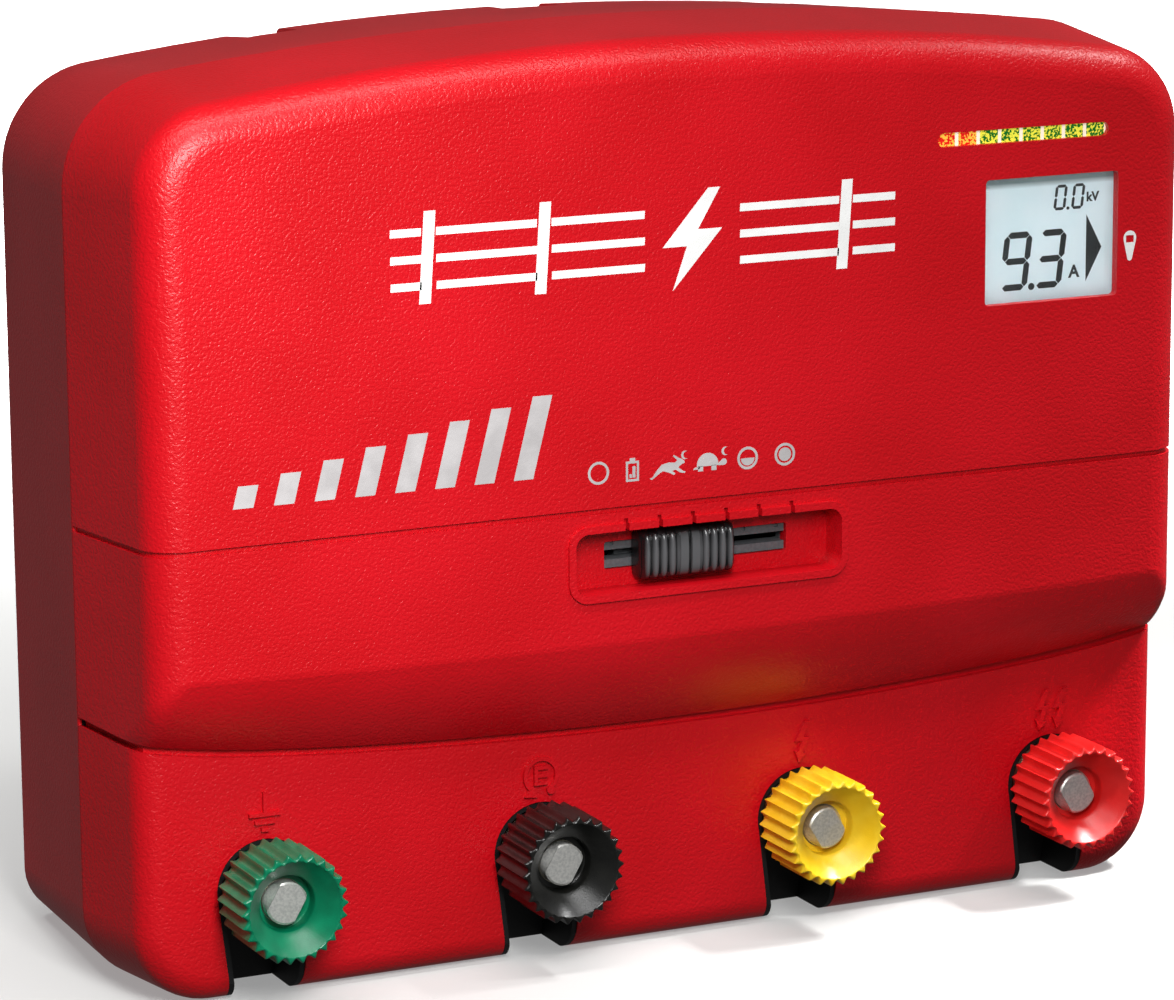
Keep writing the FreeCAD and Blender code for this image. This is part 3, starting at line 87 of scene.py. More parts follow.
def finish(name, rough, metal=0.0, **more):
    """New principled material; returns it with its tree and its shader."""
    made = bpy.data.materials.new(name)
    made.use_nodes = True
    shader = made.node_tree.nodes["Principled BSDF"]
    shader.inputs["Roughness"].default_value = rough
    shader.inputs["Metallic"].default_value = metal
    for key, value in more.items():
        shader.inputs[key.replace("_", " ")].default_value = value
    return made, made.node_tree, shader


def place(tree):
    """Position on the object, in metres."""
    return tree.nodes.new("ShaderNodeTexCoord").outputs["Object"]


def split(tree):
    """Position on the object as its x, y and z sockets."""
    return put(tree, "ShaderNodeSeparateXYZ", Vector=place(tree)).node.outputs


def noise(tree, size_mm, detail=2.0):
    """Noise in object space whose spots are size_mm across."""
    return put(tree, "ShaderNodeTexNoise", Vector=place(tree), Scale=1000.0 / size_mm, Detail=detail)


def ramp(tree, value, low, high):
    """Value mapped to 0 at low and 1 at high, and held there beyond them."""
    return put(tree, "ShaderNodeMapRange", i0=value, i1=low, i2=high)


def blend(tree, share, first, second):
    """Mix of two colours, each a hex code or a socket."""
    a, b = [linear(end) if isinstance(end, str) else end for end in (first, second)]
    return put(tree, "ShaderNodeMix", [("data_type", "RGBA")], i0=share, i6=a, i7=b).node.outputs[2]


def drift(tree, shader, first, second, size_mm, detail=2.0):
    """Base colour that drifts between two near shades."""
    share = ramp(tree, noise(tree, size_mm, detail), 0.35, 0.65)
    tree.links.new(blend(tree, share, first, second), shader.inputs["Base Color"])


def relief(tree, shader, *layers):
    """Raised texture; each layer is a height socket and its height in millimetres."""
    normal = None
    for height, tall in layers:
        bump = tree.nodes.new("ShaderNodeBump")
        bump.inputs["Distance"].default_value = tall * MM
        tree.links.new(height, bump.inputs["Height"])
        if normal:
            tree.links.new(normal, bump.inputs["Normal"])
        normal = bump.outputs[0]
    tree.links.new(normal, shader.inputs["Normal"])


def coat(material, *names):
    """Gives CAD nodes a material."""
    for name in names:
        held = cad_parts[name].data.materials
        if not held:
            held.append(material)
        for k in range(len(held)):
            held[k] = material


# Red ABS off the eroded tool: satin, with the sheen broken up by the pits.
red_abs, tree, shader = finish("red_abs_spark_grain", 0.36, IOR=1.50, Specular_IOR_Level=0.42)
drift(tree, shader, "C00512", "CA0818", 40.0)
relief(tree, shader, (ramp(tree, noise(tree, GRAIN_MM, 1.5), 0.62, 0.44), 0.05), (noise(tree, TOOTH_MM, 1.0), 0.035))
coat(red_abs, "front_cover", "rear_case")

# Gasket. Black rubber cord let into the rim of the rear shell.
# It shows only as a dark line in the parting plane.
rubber, tree, shader = finish("black_nitrile_rubber", 0.75)
drift(tree, shader, "101010", "181818", 3.0)
relief(tree, shader, (noise(tree, 0.5), 0.02))
coat(rubber, "case_gasket")

# Printed marks. White and light grey screen print on the red front: six mode marks over the slider,
# a remote control mark by the display, a fence with a bolt, and a row of slanted bars.
# The ink stands 0.04 mm proud and its sheet is rooted 0.1 mm inside the face.
FRONT_D = 97.0
INK = (FRONT_D - 0.1, FRONT_D + 0.04)


def depth(d):
    """Depth in millimetres counted forward from the rear wall, as y in metres."""
    return (52.25 - d) * MM


def solid(name, points, faces, material, body, slot, sharp=35.0):
    """Mesh object at the origin that rides on a body; edges sharper than the angle stay crisp."""
    mesh = bpy.data.meshes.new(name)
    mesh.from_pydata(np.asarray(points).tolist(), [], faces)
    mesh.materials.append(material)
    mesh.shade_smooth()
    mesh.set_sharp_from_angle(angle=math.radians(sharp))
    made = bpy.data.objects.new(name, mesh)
    bpy.context.scene.collection.objects.link(made)
    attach(made, body)
    return made


def filled(groups, d_back, d_front):
    """Points and faces of flat shapes in the x-z plane, in millimetres, between two depths.

    Each group is a list of closed loops; a loop inside another one is a hole in it.
    """
    points, faces, start = [], [], 0
    for loops in groups:
        curve = bpy.data.curves.new("loops", "CURVE")
        curve.dimensions = "2D"
        curve.fill_mode = "BOTH"
        curve.extrude = 0.5
        for loop in loops:
            spline = curve.splines.new("POLY")
            spline.points.add(len(loop) - 1)
            flat = np.zeros((len(loop), 4))
            flat[:, :2] = loop
            flat[:, 3] = 1.0
            spline.points.foreach_set("co", flat.ravel())
            spline.use_cyclic_u = True
        holder = bpy.data.objects.new("loops", curve)
        mesh = bpy.data.meshes.new_from_object(holder)
        flat = np.zeros(len(mesh.vertices) * 3)
        mesh.vertices.foreach_get("co", flat)
        flat = flat.reshape(-1, 3)
        y = np.where(flat[:, 2] > 0.0, depth(d_front), depth(d_back))
        points.append(np.column_stack([flat[:, 0] * MM, y, flat[:, 1] * MM]))
        faces += [[start + v for v in face.vertices] for face in mesh.polygons]
        start += len(flat)
        bpy.data.objects.remove(holder)
        bpy.data.curves.remove(curve)
        bpy.data.meshes.remove(mesh)
    return np.vstack(points), faces


def circle(x, z, r, count=40, start=0.0, end=360.0):
    """Arc of count points round (x, z), as an (n, 2) array."""
    a = np.radians(np.linspace(start, end, count, endpoint=end - start < 360.0))
    return np.column_stack([x + r * np.cos(a), z + r * np.sin(a)])


def block(x0, x1, z0, z1, lean=0.0):
    """Rectangle whose top is shifted sideways by lean."""
    return np.array([(x0, z0), (x1, z0), (x1 + lean, z1), (x0 + lean, z1)])


def ring(x, z, r, width):
    """Circle line of a given width."""
    return [circle(x, z, r), circle(x, z, r - width)]


def moon(x, z, r):
    """Thin crescent open to the right, from two arcs."""
    outer = circle(x, z, r, 16, 60.0, 300.0)
    inner = circle(x + 0.45 * r, z, 0.87 * r, 16, 282.0, 78.0)
    return [np.vstack([outer, inner])]


# Screen ink, slightly glossy, with a trace of the grain below it.
white_ink, tree, shader = finish("white_screen_ink", 0.35)
drift(tree, shader, "EEEEEC", "F8F8F6", 6.0)
relief(tree, shader, (noise(tree, GRAIN_MM, 1.0), 0.03))
grey_ink, tree, shader = finish("silver_screen_ink", 0.38, 0.15)
drift(tree, shader, "BEBABA", "CECACA", 6.0)
relief(tree, shader, (noise(tree, GRAIN_MM, 1.0), 0.03))

MARK_Z = 115.4
MARK_R = 2.65
LINE = 0.62
HARE_X, TORTOISE_X = -6.3, 4.3
hare = np.array([(-4.7, -2.2), (-3.9, -1.9), (-2.9, -0.5), (-1.6, 0.75), (0.2, 1.15), (1.7, 0.95),
                 (2.3, 1.5), (1.2, 2.5), (1.5, 2.75), (2.7, 2.0), (3.3, 1.75), (4.1, 1.2), (4.25, 0.75),
                 (3.2, 0.35), (2.6, -0.25), (3.9, -1.2), (4.4, -1.3), (4.2, -1.65), (3.2, -1.5), (1.9, -0.7),
                 (1.0, -0.9), (1.9, -1.55), (1.5, -1.9), (0.0, -1.15), (-1.3, -0.75), (-2.6, -1.5),
                 (-4.1, -2.55)])
shell = np.vstack([circle(-0.55, -0.6, 2.75, 18, 0.0, 180.0), [(-3.3, -0.9), (2.2, -0.9)]])
limbs = [block(-3.0, -1.7, -2.0, -0.8), block(0.4, 1.7, -2.0, -0.8), block(-4.3, -2.8, -1.5, -1.0, 0.5)]
head = np.vstack([circle(3.6, -0.25, 0.75, 16, -90.0, 130.0), [(2.2, -0.45), (2.2, -1.0)]])
modes = [ring(-23.8, MARK_Z, MARK_R, LINE),
         [block(-16.95, -13.65, 112.7, 117.4), block(-16.4, -14.2, 113.25, 116.85)],
         [block(-16.0, -14.6, 117.4, 118.1)], [block(-16.05, -15.45, 113.55, 114.4)],
         [block(-15.3, -14.55, 113.55, 116.2)],
         [hare + (HARE_X, MARK_Z - 0.3)], moon(-2.0, MARK_Z + 2.2, 1.0),
         [shell + (TORTOISE_X, MARK_Z)], [head + (TORTOISE_X, MARK_Z)], moon(8.3, MARK_Z + 2.2, 1.0)]
modes += [[limb + (TORTOISE_X, MARK_Z)] for limb in limbs]
modes += [ring(14.0, MARK_Z, MARK_R, LINE), [circle(14.0, MARK_Z, 1.75, 20, 180.0, 360.0)],
          ring(23.6, MARK_Z, MARK_R, LINE), [circle(23.6, MARK_Z, 1.6)]]
solid("mode_marks", *filled(modes, *INK), grey_ink, "case", "red_case_plastic")

REMOTE_X, REMOTE_Z = 115.3, 157.2
drop = np.vstack([circle(REMOTE_X, REMOTE_Z + 1.75, 1.75, 24, -15.0, 195.0),
                  circle(REMOTE_X, REMOTE_Z - 3.0, 0.65, 8, 200.0, 340.0)])
screen = block(REMOTE_X - 1.05, REMOTE_X + 1.05, REMOTE_Z + 0.7, REMOTE_Z + 2.4)
solid("remote_mark", *filled([[drop, screen]], *INK), white_ink, "case", "red_case_plastic")

POSTS = (-66.0, -38.0, 38.0)
bolt = np.array([(4.0, 11.5), (-7.5, -1.5), (-1.4, -1.5), (-5.0, -11.5), (7.5, 2.2), (1.4, 2.2), (7.0, 11.5)])
fence = [[block(x - 1.2, x + 1.6, 157.4, 178.0, 1.4)] for x in POSTS]
fence += [[block(x0, x1, z - 0.9, z + 0.9, 0.1)] for z in (173.4, 167.4, 161.4)
          for x0, x1 in ((-74.0, -66.6), (-63.0, -38.6), (-35.0, -12.0), (12.0, 37.4), (41.0, 52.0))]
fence += [[bolt + (0.0, 167.0)]]
solid("fence_mark", *filled(fence, *INK), white_ink, "case", "red_case_plastic")

BAR_X, BAR_Z, BAR_W, BAR_PITCH = -112.0, 115.6, 4.8, 9.6
BAR_H = [5.0 + 1.97 * k for k in range(8)]
BAR_LEAN = 0.26
bars = [[block(BAR_X + BAR_PITCH * k, BAR_X + BAR_PITCH * k + BAR_W, BAR_Z, BAR_Z + tall, BAR_LEAN * tall)]
        for k, tall in enumerate(BAR_H)]
solid("power_bars", *filled(bars, *INK), grey_ink, "case", "red_case_plastic")

# Display. A clear acrylic lens behind the window, and a reflective liquid crystal glass under it.
# The glass shows a large and a small figure with their units, and a pointer to the right.
LENS_D = 94.8
GLASS_D = 93.4
LCD_X, LCD_Z = 94.0, 160.4


def slab(x, z, half_x, half_z, r, d_back, d_front, bevel):
    """Plate with round corners and a bevelled front edge: rings of one outline at several insets."""
    corners = [(1, 1, 0.0), (-1, 1, 90.0), (-1, -1, 180.0), (1, -1, 270.0)]
    levels = [(0.0, d_back), (0.0, d_front - bevel), (0.3 * bevel, d_front - 0.3 * bevel), (bevel, d_front)]
    rows = []
    for inset, d in levels:
        path = np.vstack([circle(x + sx * (half_x - r), z + sz * (half_z - r), r - inset, 7, a, a + 90.0)
                          for sx, sz, a in corners])
        rows.append(np.column_stack([path[:, 0] * MM, np.full(len(path), depth(d)), path[:, 1] * MM]))
    count = len(rows[0])
    faces = strips(len(rows), count)
    faces += [list(range(count)), [3 * count + k for k in range(count)][::-1]]
    return np.vstack(rows), [face[::-1] for face in faces]


def strips(rows, count, closed=True):
    """Quads between neighbouring rows of a grid stored row by row."""
    a = np.arange(rows - 1)[:, None] * count
    b = np.arange(count if closed else count - 1)[None, :]
    c = (b + 1) % count
    return np.stack([a + b, a + c, a + c + count, a + b + count], -1).reshape(-1, 4).tolist()


# Polished acrylic.
acrylic, tree, shader = finish("clear_acrylic", 0.03, IOR=1.49, Transmission_Weight=1.0)
drift(tree, shader, "F4FAFA", "FAFCFC", 10.0)
solid("window_lens", *slab(LCD_X, LCD_Z, 19.4, 16.3, 1.5, GLASS_D + 0.3, LENS_D, 0.25), acrylic, "case", "clear_lens")
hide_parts("lcd_window")

# Liquid crystal cell over a reflector: pale blue grey, with a painted glow, a faint emission of its own though
# nothing lights it.
# The darker band along the top is painted shade: it stands in for the shade of the window's upper edge; it is part of
# the colour.
reflector, tree, shader = finish("lcd_reflector_film", 0.5, Emission_Strength=0.4)
# Painted shade: the colour turns darker towards the top edge of the window, and the same colour is emitted as painted
# glow.
edge = ramp(tree, split(tree)[2], (LCD_Z + 11.8) * MM, (LCD_Z + 13.2) * MM)
tone = blend(tree, edge, "D2DEE4", "6E7A7C")
tree.links.new(tone, shader.inputs["Base Color"])
tree.links.new(tone, shader.inputs["Emission Color"])
relief(tree, shader, (noise(tree, 0.15, 1.0), 0.003))
coat(reflector, "lcd_module")

# Dark segments: liquid crystal cells switched on, nearly black with a cool cast.
segment, tree, shader = finish("lcd_dark_segment", 0.4)
drift(tree, shader, "141C20", "1C2428", 2.0)

SEGMENTS = {"0": "abcdef", "3": "abcdg", "9": "abcdfg"}
LEAN = 0.12
END_GAP = 0.08
FIGURES = (GLASS_D, GLASS_D + 0.08)


def bar(x0, z0, x1, z1, t):
    """Segment with pointed ends between two points."""
    run = np.array([x1 - x0, z1 - z0])
    along = run / np.hypot(*run) * t / 2
    across = np.array([-along[1], along[0]])
    a, b = np.array([x0, z0]), np.array([x1, z1])
    return np.array([a, a + along - across, b - along - across, b, b - along + across, a + along + across])


def digit(sign, x, z, w, h, t):
    """Seven-segment figure standing on (x, z), leaning to the right."""
    g = END_GAP * t
    ends = {"a": (g, h, w - g, h), "b": (w, h - g, w, h / 2 + g), "c": (w, h / 2 - g, w, g), "d": (g, 0, w - g, 0),
            "e": (0, h / 2 - g, 0, g), "f": (0, h - g, 0, h / 2 + g), "g": (g, h / 2, w - g, h / 2)}
    out = []
    for key in SEGMENTS[sign]:
        loop = bar(*ends[key], t)
        out.append([np.column_stack([x + loop[:, 0] + LEAN * loop[:, 1], z + loop[:, 1]])])
    return out


shown = digit("9", 82.4, 148.9, 6.0, 12.3, 1.5) + digit("3", 91.7, 148.9, 6.0, 12.3, 1.5)
shown += [[circle(90.4, 148.8, 0.85, 12)]]
shown += digit("0", 96.5, 166.7, 2.5, 5.3, 0.68) + digit("0", 101.3, 166.7, 2.5, 5.3, 0.68)
shown += [[circle(100.1, 166.7, 0.4, 10)], [np.array([(105.2, 149.0), (109.4, 156.9), (105.2, 164.8)])]]
solid("display_figures", *filled(shown, *FIGURES), segment, "case", "lcd_glass")


def letters(name, text, x, z, size, d_back, d_front, material, slot):
    """Plain sans letters of a unit, size millimetres tall, standing on (x, z)."""
    font = bpy.data.curves.new(name, "FONT")
    font.body = text
    font.size = size
    font.offset = 0.03 * size
    font.extrude = 0.5
    holder = bpy.data.objects.new(name, font)
    mesh = bpy.data.meshes.new_from_object(holder)
    flat = np.zeros(len(mesh.vertices) * 3)
    mesh.vertices.foreach_get("co", flat)
    flat = flat.reshape(-1, 3)
    y = np.where(flat[:, 2] > 0.0, depth(d_front), depth(d_back))
    points = np.column_stack([(x + flat[:, 0]) * MM, y, (z + flat[:, 1]) * MM])
    solid(name, points, [list(face.vertices) for face in mesh.polygons], material, "case", slot)
    bpy.data.objects.remove(holder)


letters("unit_volts", "kV", 105.1, 168.0, 3.1, *FIGURES, segment, "lcd_glass")
letters("unit_amps", "A", 100.6, 150.2, 4.1, *FIGURES, segment, "lcd_glass")

# Light bar. A clear moulded pipe fills the slot, over eight lamps on the board behind it; its bright front is a
# painted glow in the pipe's own finish.
# The first two cells glow red and orange, the rest green and yellow, with white gaps between them.
LED_X = 86.1
LED_HALF = 22.9
CELLS = 8
WARM_CELLS = 2.0
SPARK_MM = 0.6

# Acrylic with a painted glow: mottled patches of colour 0.6 mm across. The pattern and its glow are only in the
# finish; the emission stands in for the lamps' light.
cells, tree, shader = finish("painted_glow_light_pipe", 0.25, IOR=1.49)
step = put(tree, "ShaderNodeMapRange", [("clamp", False)], i0=split(tree)[0], i1=(LED_X - LED_HALF) * MM,
           i2=(LED_X + LED_HALF) * MM, i3=0.0, i4=float(CELLS))
within = put(tree, "ShaderNodeMath", [("operation", "FRACT")], i0=step)
off = put(tree, "ShaderNodeMath", [("operation", "SUBTRACT")], i0=within, i1=0.5)
from_middle = put(tree, "ShaderNodeMath", [("operation", "ABSOLUTE")], i0=off)
sparks = ramp(tree, noise(tree, SPARK_MM, 1.0), 0.46, 0.54)
warm = blend(tree, sparks, "E01C14", "FFC848")
cool = blend(tree, sparks, "0C6E20", "F0F24A")
glow = blend(tree, ramp(tree, step, WARM_CELLS, WARM_CELLS + 0.05), warm, cool)
full = blend(tree, ramp(tree, from_middle, 0.41, 0.43), glow, "FFF8E0")
tree.links.new(full, shader.inputs["Base Color"])
tree.links.new(full, shader.inputs["Emission Color"])
# Painted glow: the pipe emits this light itself; the lamps under it give none.
shader.inputs["Emission Strength"].default_value = 0.45
relief(tree, shader, (noise(tree, 0.4, 1.0), 0.02))
coat(cells, "led_light_pipe")

# Milky epoxy of the lamps, tinted yellow green.
resin, tree, shader = finish("diffused_led_resin", 0.3)
drift(tree, shader, "DCE8A8", "E6F0B8", 1.0)
coat(resin, "led_array")

# Mode slide. Dark grey acetal finger slide, 24.7 mm long, with four rounded ribs on each side
# of a smooth pad that carries the index line. Its top is bowed from edge to edge.
SLIDE_X, SLIDE_Z = -0.03, 94.4
SLIDE_A, SLIDE_B = 12.35, 5.8
SLIDE_BASE, SLIDE_TOP = 90.3, 96.0


def slide_height(x):
    """Top depth along the slide: pad, index line, then cosine ribs 2.15 mm apart and round ends."""
    away = np.abs(x)
    ribs = 1.0 * (0.5 - 0.5 * np.cos(2 * np.pi * (away - 3.2) / 2.15)) ** 0.5 - 0.9
    pad = np.where(away < 0.35, -0.8, np.where(away < 2.5, 0.0, -0.35))
    return SLIDE_TOP + np.where((away > 3.2) & (away < 11.8), ribs, np.where(away >= 11.8, -0.6, pad))


def bowed_slide():
    """Height field over the slide's outline, whose half length falls by 0.06 t^8 towards its long edges.

    The walls follow (1 - s^14)^(1/4) (1 - t^8)^(1/4), with s and t the distance over half the size.
    """
    count, rows = 241, 41
    s, t = np.meshgrid(np.sin(np.linspace(-np.pi / 2, np.pi / 2, count)),
                       np.sin(np.linspace(-np.pi / 2, np.pi / 2, rows)))
    wall = (1 - np.abs(s) ** 14) ** 0.25 * (1 - np.abs(t) ** 8) ** 0.25
    x = s * SLIDE_A * (1 - 0.06 * t ** 8)
    top = slide_height(x) - 0.55 * t ** 2
    d = SLIDE_BASE + (top - SLIDE_BASE) * wall
    points = np.column_stack([(SLIDE_X + x.ravel()) * MM, depth(d.ravel()),
                              (SLIDE_Z + t.ravel() * SLIDE_B) * MM])
    faces = strips(rows, count, closed=False)
    last = (rows - 1) * count
    rim = list(range(count)) + [count * r + count - 1 for r in range(1, rows)]
    rim += [last + k for k in range(count - 2, -1, -1)] + [count * r for r in range(rows - 2, 0, -1)]
    return points, faces + [rim[::-1]]


# Acetal, moulded smooth and slightly shiny, with painted shade: darker in the grooves and lighter on the crests, by
# depth.
acetal, tree, shader = finish("dark_grey_acetal", 0.27, Specular_IOR_Level=0.8)
painted_groove_shade = ramp(tree, split(tree)[1], depth(SLIDE_TOP - 0.9), depth(SLIDE_TOP - 0.1))
tree.links.new(blend(tree, painted_groove_shade, "141415", "5A5A5C"), shader.inputs["Base Color"])
relief(tree, shader, (noise(tree, 0.3, 1.0), 0.012))
slide = solid("finger_slide", *bowed_slide(), acetal, "mode_slide", "slider_grey", 60.0)
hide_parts("mode_slider")

# Slide guide and carriage. Glass-filled nylon, dark grey and faintly speckled.
# The guide's face shows in the slot of the cover; the carriage runs behind it.
nylon, tree, shader = finish("dark_glass_filled_nylon", 0.5)
drift(tree, shader, "54575A", "606366", 0.7)
relief(tree, shader, (noise(tree, 0.35), 0.02))
coat(nylon, "slider_track", "slider_carriage")

# Terminal block, power inlet, connectors, bobbin and display holder. Black moulded nylon.
# The block's four wire wells open downward at the base.
jet, tree, shader = finish("jet_black_nylon", 0.55)
drift(tree, shader, "050506", "0B0B0C", 3.0)
relief(tree, shader, (noise(tree, 0.6), 0.02))
coat(jet, "terminal_block", "power_inlet", "ribbon_connectors", "transformer_bobbin", "lcd_holder")

# Terminal knobs. Coloured nylon hand knobs, 25.6 mm across, with 26 scalloped flutes.
# A wide conical dish in the face leads to a round hole over the stud; a brass insert is moulded in.
KNOB_X = {"green": -102.0, "black": -34.0, "yellow": 34.0, "red": 102.0}
KNOB_Z = 25.5
KNOB_R = 12.8
FLUTES = 26
FLUTE_DEEP = 1.3


def fluted_knob(x):
    """Turned profile of radius, depth and flute share; radius falls by share * FLUTE_DEEP * scallop(angle),
    scallop = (sqrt(sin^2 + e^2) - e) / (sqrt(1 + e^2) - e) of half the flute angle."""
    profile = np.array([
        (8.0, 93.0, 0.0), (8.0, 88.9, 0.0), (8.2, 88.7, 0.0), (11.4, 88.7, 0.0), (12.3, 88.72, 0.95),
        (12.62, 88.85, 1.0), (KNOB_R, 89.15, 1.0), (KNOB_R, 92.0, 1.0), (KNOB_R, 96.0, 1.0),
        (KNOB_R, 100.0, 1.0), (KNOB_R, 103.5, 1.0), (12.74, 103.95, 1.0), (12.58, 104.25, 1.0),
        (12.3, 104.43, 0.98), (12.0, 104.5, 0.9), (11.5, 104.5, 0.35), (11.15, 104.47, 0.0),
        (10.95, 104.36, 0.0), (10.8, 104.16, 0.0), (9.8, 103.0, 0.0), (8.6, 101.6, 0.0), (7.4, 100.2, 0.0),
        (6.75, 99.45, 0.0), (6.6, 99.2, 0.0), (6.55, 98.9, 0.0), (6.5, 97.5, 0.0), (6.5, 96.3, 0.0),
        (6.2, 96.05, 0.0), (5.1, 96.0, 0.0), (5.0, 94.0, 0.0)])
    count = FLUTES * 12
    angle = np.arange(count) / count * 2 * np.pi
    soft = 0.16
    scallop = (np.sqrt(np.sin(FLUTES * angle / 2) ** 2 + soft ** 2) - soft) / (np.sqrt(1 + soft ** 2) - soft)
    r = profile[:, :1] - profile[:, 2:] * FLUTE_DEEP * scallop[None, :]
    d = np.repeat(profile[:, 1:2], count, axis=1)
    points = np.column_stack([((x + r * np.cos(angle)) * MM).ravel(), depth(d.ravel()),
                              ((KNOB_Z + r * np.sin(angle)) * MM).ravel()])
    faces = strips(len(profile), count)
    faces.append(list(range((len(profile) - 1) * count, len(profile) * count)))
    faces.append(list(range(count))[::-1])
    return points, faces


# Nylon with a fine sparkle; each colour has its own shade and the same finish.
SHADES = {"green": ("006C4A", "007C56"), "black": ("111110", "1A1A18"), "yellow": ("EFC21A", "F7D030"),
          "red": ("DC1E1E", "E62A28")}
for colour, x in KNOB_X.items():
    coloured, tree, shader = finish(colour + "_knob_nylon", 0.3, Specular_IOR_Level=0.5)
    drift(tree, shader, *SHADES[colour], 5.0)
    relief(tree, shader, (noise(tree, 0.35, 2.0), 0.03))
    made = solid(colour + "_hand_knob", *fluted_knob(x), coloured, colour + "_knob", "knob_" + colour)
    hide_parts("knob_" + colour)

# Terminal studs. M10 steel studs with a rolled 1.5 mm thread and two flats at the sawn tip.
# They stand in the terminal block and pass through seat, washer and knob.
STUD_R = 4.9
PITCH = 1.5
TIP_D = 99.2
FLAT = 3.6
FLAT_LEAN = {"green": 30.0, "black": 30.0, "yellow": -31.0, "red": -31.0}


def threaded_stud(x, lean):
    """Helical thread r = R - 0.42 * |2 * fract(d / pitch - angle / 2 pi) - 1| with a plain, flatted tip."""
    count = 48
    d = np.concatenate([[56.0], np.arange(56.6, 96.4, PITCH / 6), [96.8, 98.9, TIP_D - 0.35, TIP_D, TIP_D, TIP_D]])
    cap = np.ones(len(d))
    cap[[0, -3, -2, -1]] = 0.92, 0.915, 0.45, 0.001
    angle = np.arange(count) / count * 2 * np.pi
    wave = np.abs(2 * np.mod(d[:, None] / PITCH - angle[None, :] / (2 * np.pi), 1.0) - 1)
    plain = np.clip((96.6 - d) / 0.4, 0.0, 1.0)[:, None]
    r = (STUD_R - 0.42 * wave * plain) * cap[:, None]
    px, pz = r * np.cos(angle), r * np.sin(angle)
    turn = math.radians(lean)
    across = px * math.cos(turn) - pz * math.sin(turn)
    limit = np.where(d > TIP_D - 2.4, FLAT, STUD_R + 1.0)[:, None]
    shift = np.clip(across, -limit, limit) - across
    px, pz = px + shift * math.cos(turn), pz - shift * math.sin(turn)
    depths = np.repeat(d[:, None], count, axis=1)
    points = np.column_stack([((x + px) * MM).ravel(), depth(depths.ravel()), ((KNOB_Z + pz) * MM).ravel()])
    faces = strips(len(d), count)
    faces += [list(range(count))[::-1], list(range((len(d) - 1) * count, len(d) * count))]
    return points, faces


# Zinc-plated steel, blasted at the tip: bright, with a sparkling tooth.
blasted, tree, shader = finish("blasted_steel", 0.45, 0.7)
drift(tree, shader, "D6D6D2", "F0EFEA", 0.6)
relief(tree, shader, (noise(tree, 0.28, 2.0), 0.03))
parts = [threaded_stud(x, FLAT_LEAN[colour]) for colour, x in KNOB_X.items()]
size = len(parts[0][0])
studs = solid("threaded_studs", np.vstack([points for points, faces in parts]),
              [[v + k * size for v in face] for k, (points, faces) in enumerate(parts) for face in faces],
              blasted, "case", "stud_steel")
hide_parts("terminal_studs")

# Clamp metal. Seats, washers, knob inserts and inlet pins, turned from brass and nickel plated.
# A faint tooth breaks up the shine of the plating.
nickel, tree, shader = finish("nickel_plated_brass", 0.28, 1.0)
drift(tree, shader, "B4AE9C", "C8C2B0", 1.5)
relief(tree, shader, (noise(tree, 0.4), 0.008))
coat(nickel, "inlet_pins", "stud_seats", *[part + colour for part in ("washer_", "insert_") for colour in KNOB_X])

# Screws, nuts, strap and brackets. Steel with bright zinc plate and a slight blue and yellow cast.
# The six case screws show in their seats in the rear.
zinc, tree, shader = finish("bright_zinc_plate", 0.32, 1.0)
drift(tree, shader, "AEB2B8", "C2BFB2", 2.2)
relief(tree, shader, (noise(tree, 0.5), 0.012))
coat(zinc, "case_screws", "track_screws", "display_screws", "board_screws", "thyristor_screw", "transformer_bolts",
     "stud_nuts", "capacitor_strap", "transformer_brackets")

# Lugs, wiper and fuse clips. Tinned copper and bronze sheet, dull white, with a fine rolled tooth.
tin, tree, shader = finish("dull_tin_plate", 0.42, 1.0)
drift(tree, shader, "BEBEB8", "CECEC8", 1.2)
relief(tree, shader, (noise(tree, 0.3), 0.008))
coat(tin, "ring_lugs", "slider_contact", "fuse_clips")

# Detent leaf. Blued spring steel strip under the six notches of the guide.
# It is hidden in the case.
blued, tree, shader = finish("blued_spring_steel", 0.25, 1.0)
drift(tree, shader, "5C6470", "78808A", 2.0)
coat(blued, "detent_spring")

# Leads and ribbon. Extruded insulation: dark red silicone on the leads, grey vinyl on the ribbon.
# The ribbon is ribbed over its cores, 1.27 mm apart.
CORE_MM = 1.27
silicone, tree, shader = finish("dark_red_silicone", 0.45)
drift(tree, shader, "6E0C0C", "841212", 3.0)
relief(tree, shader, (noise(tree, 0.8), 0.015))
coat(silicone, "output_leads", "inlet_leads")
vinyl, tree, shader = finish("ribbed_grey_vinyl", 0.45)
drift(tree, shader, "7C7E84", "8E9096", 2.0)
turns = put(tree, "ShaderNodeMath", [("operation", "MULTIPLY")], i0=split(tree)[0], i1=2 * math.pi / (CORE_MM * MM))
relief(tree, shader, (put(tree, "ShaderNodeMath", [("operation", "SINE")], i0=turns), 0.15))
coat(vinyl, "ribbon_cable")

# Circuit boards. Glass epoxy with green solder mask over copper tracks.
# Tracks run round pads about 6 mm apart; the mask shows a lighter green over them.
PAD_MM = 6.0
mask, tree, shader = finish("green_solder_mask", 0.3)
flat = put(tree, "ShaderNodeMapping", Vector=place(tree), Scale=(1.0, 0.0, 1.0))
track = put(tree, "ShaderNodeTexVoronoi", [("feature", "DISTANCE_TO_EDGE"), ("distance", "EUCLIDEAN")],
            Vector=flat, Scale=1000.0 / PAD_MM, Randomness=0.35)
edge = ramp(tree, track, 0.05, 0.09)
tree.links.new(blend(tree, edge, "1C7A40", "0A4A24"), shader.inputs["Base Color"])
relief(tree, shader, (edge, 0.03))
coat(mask, "display_board", "main_board")

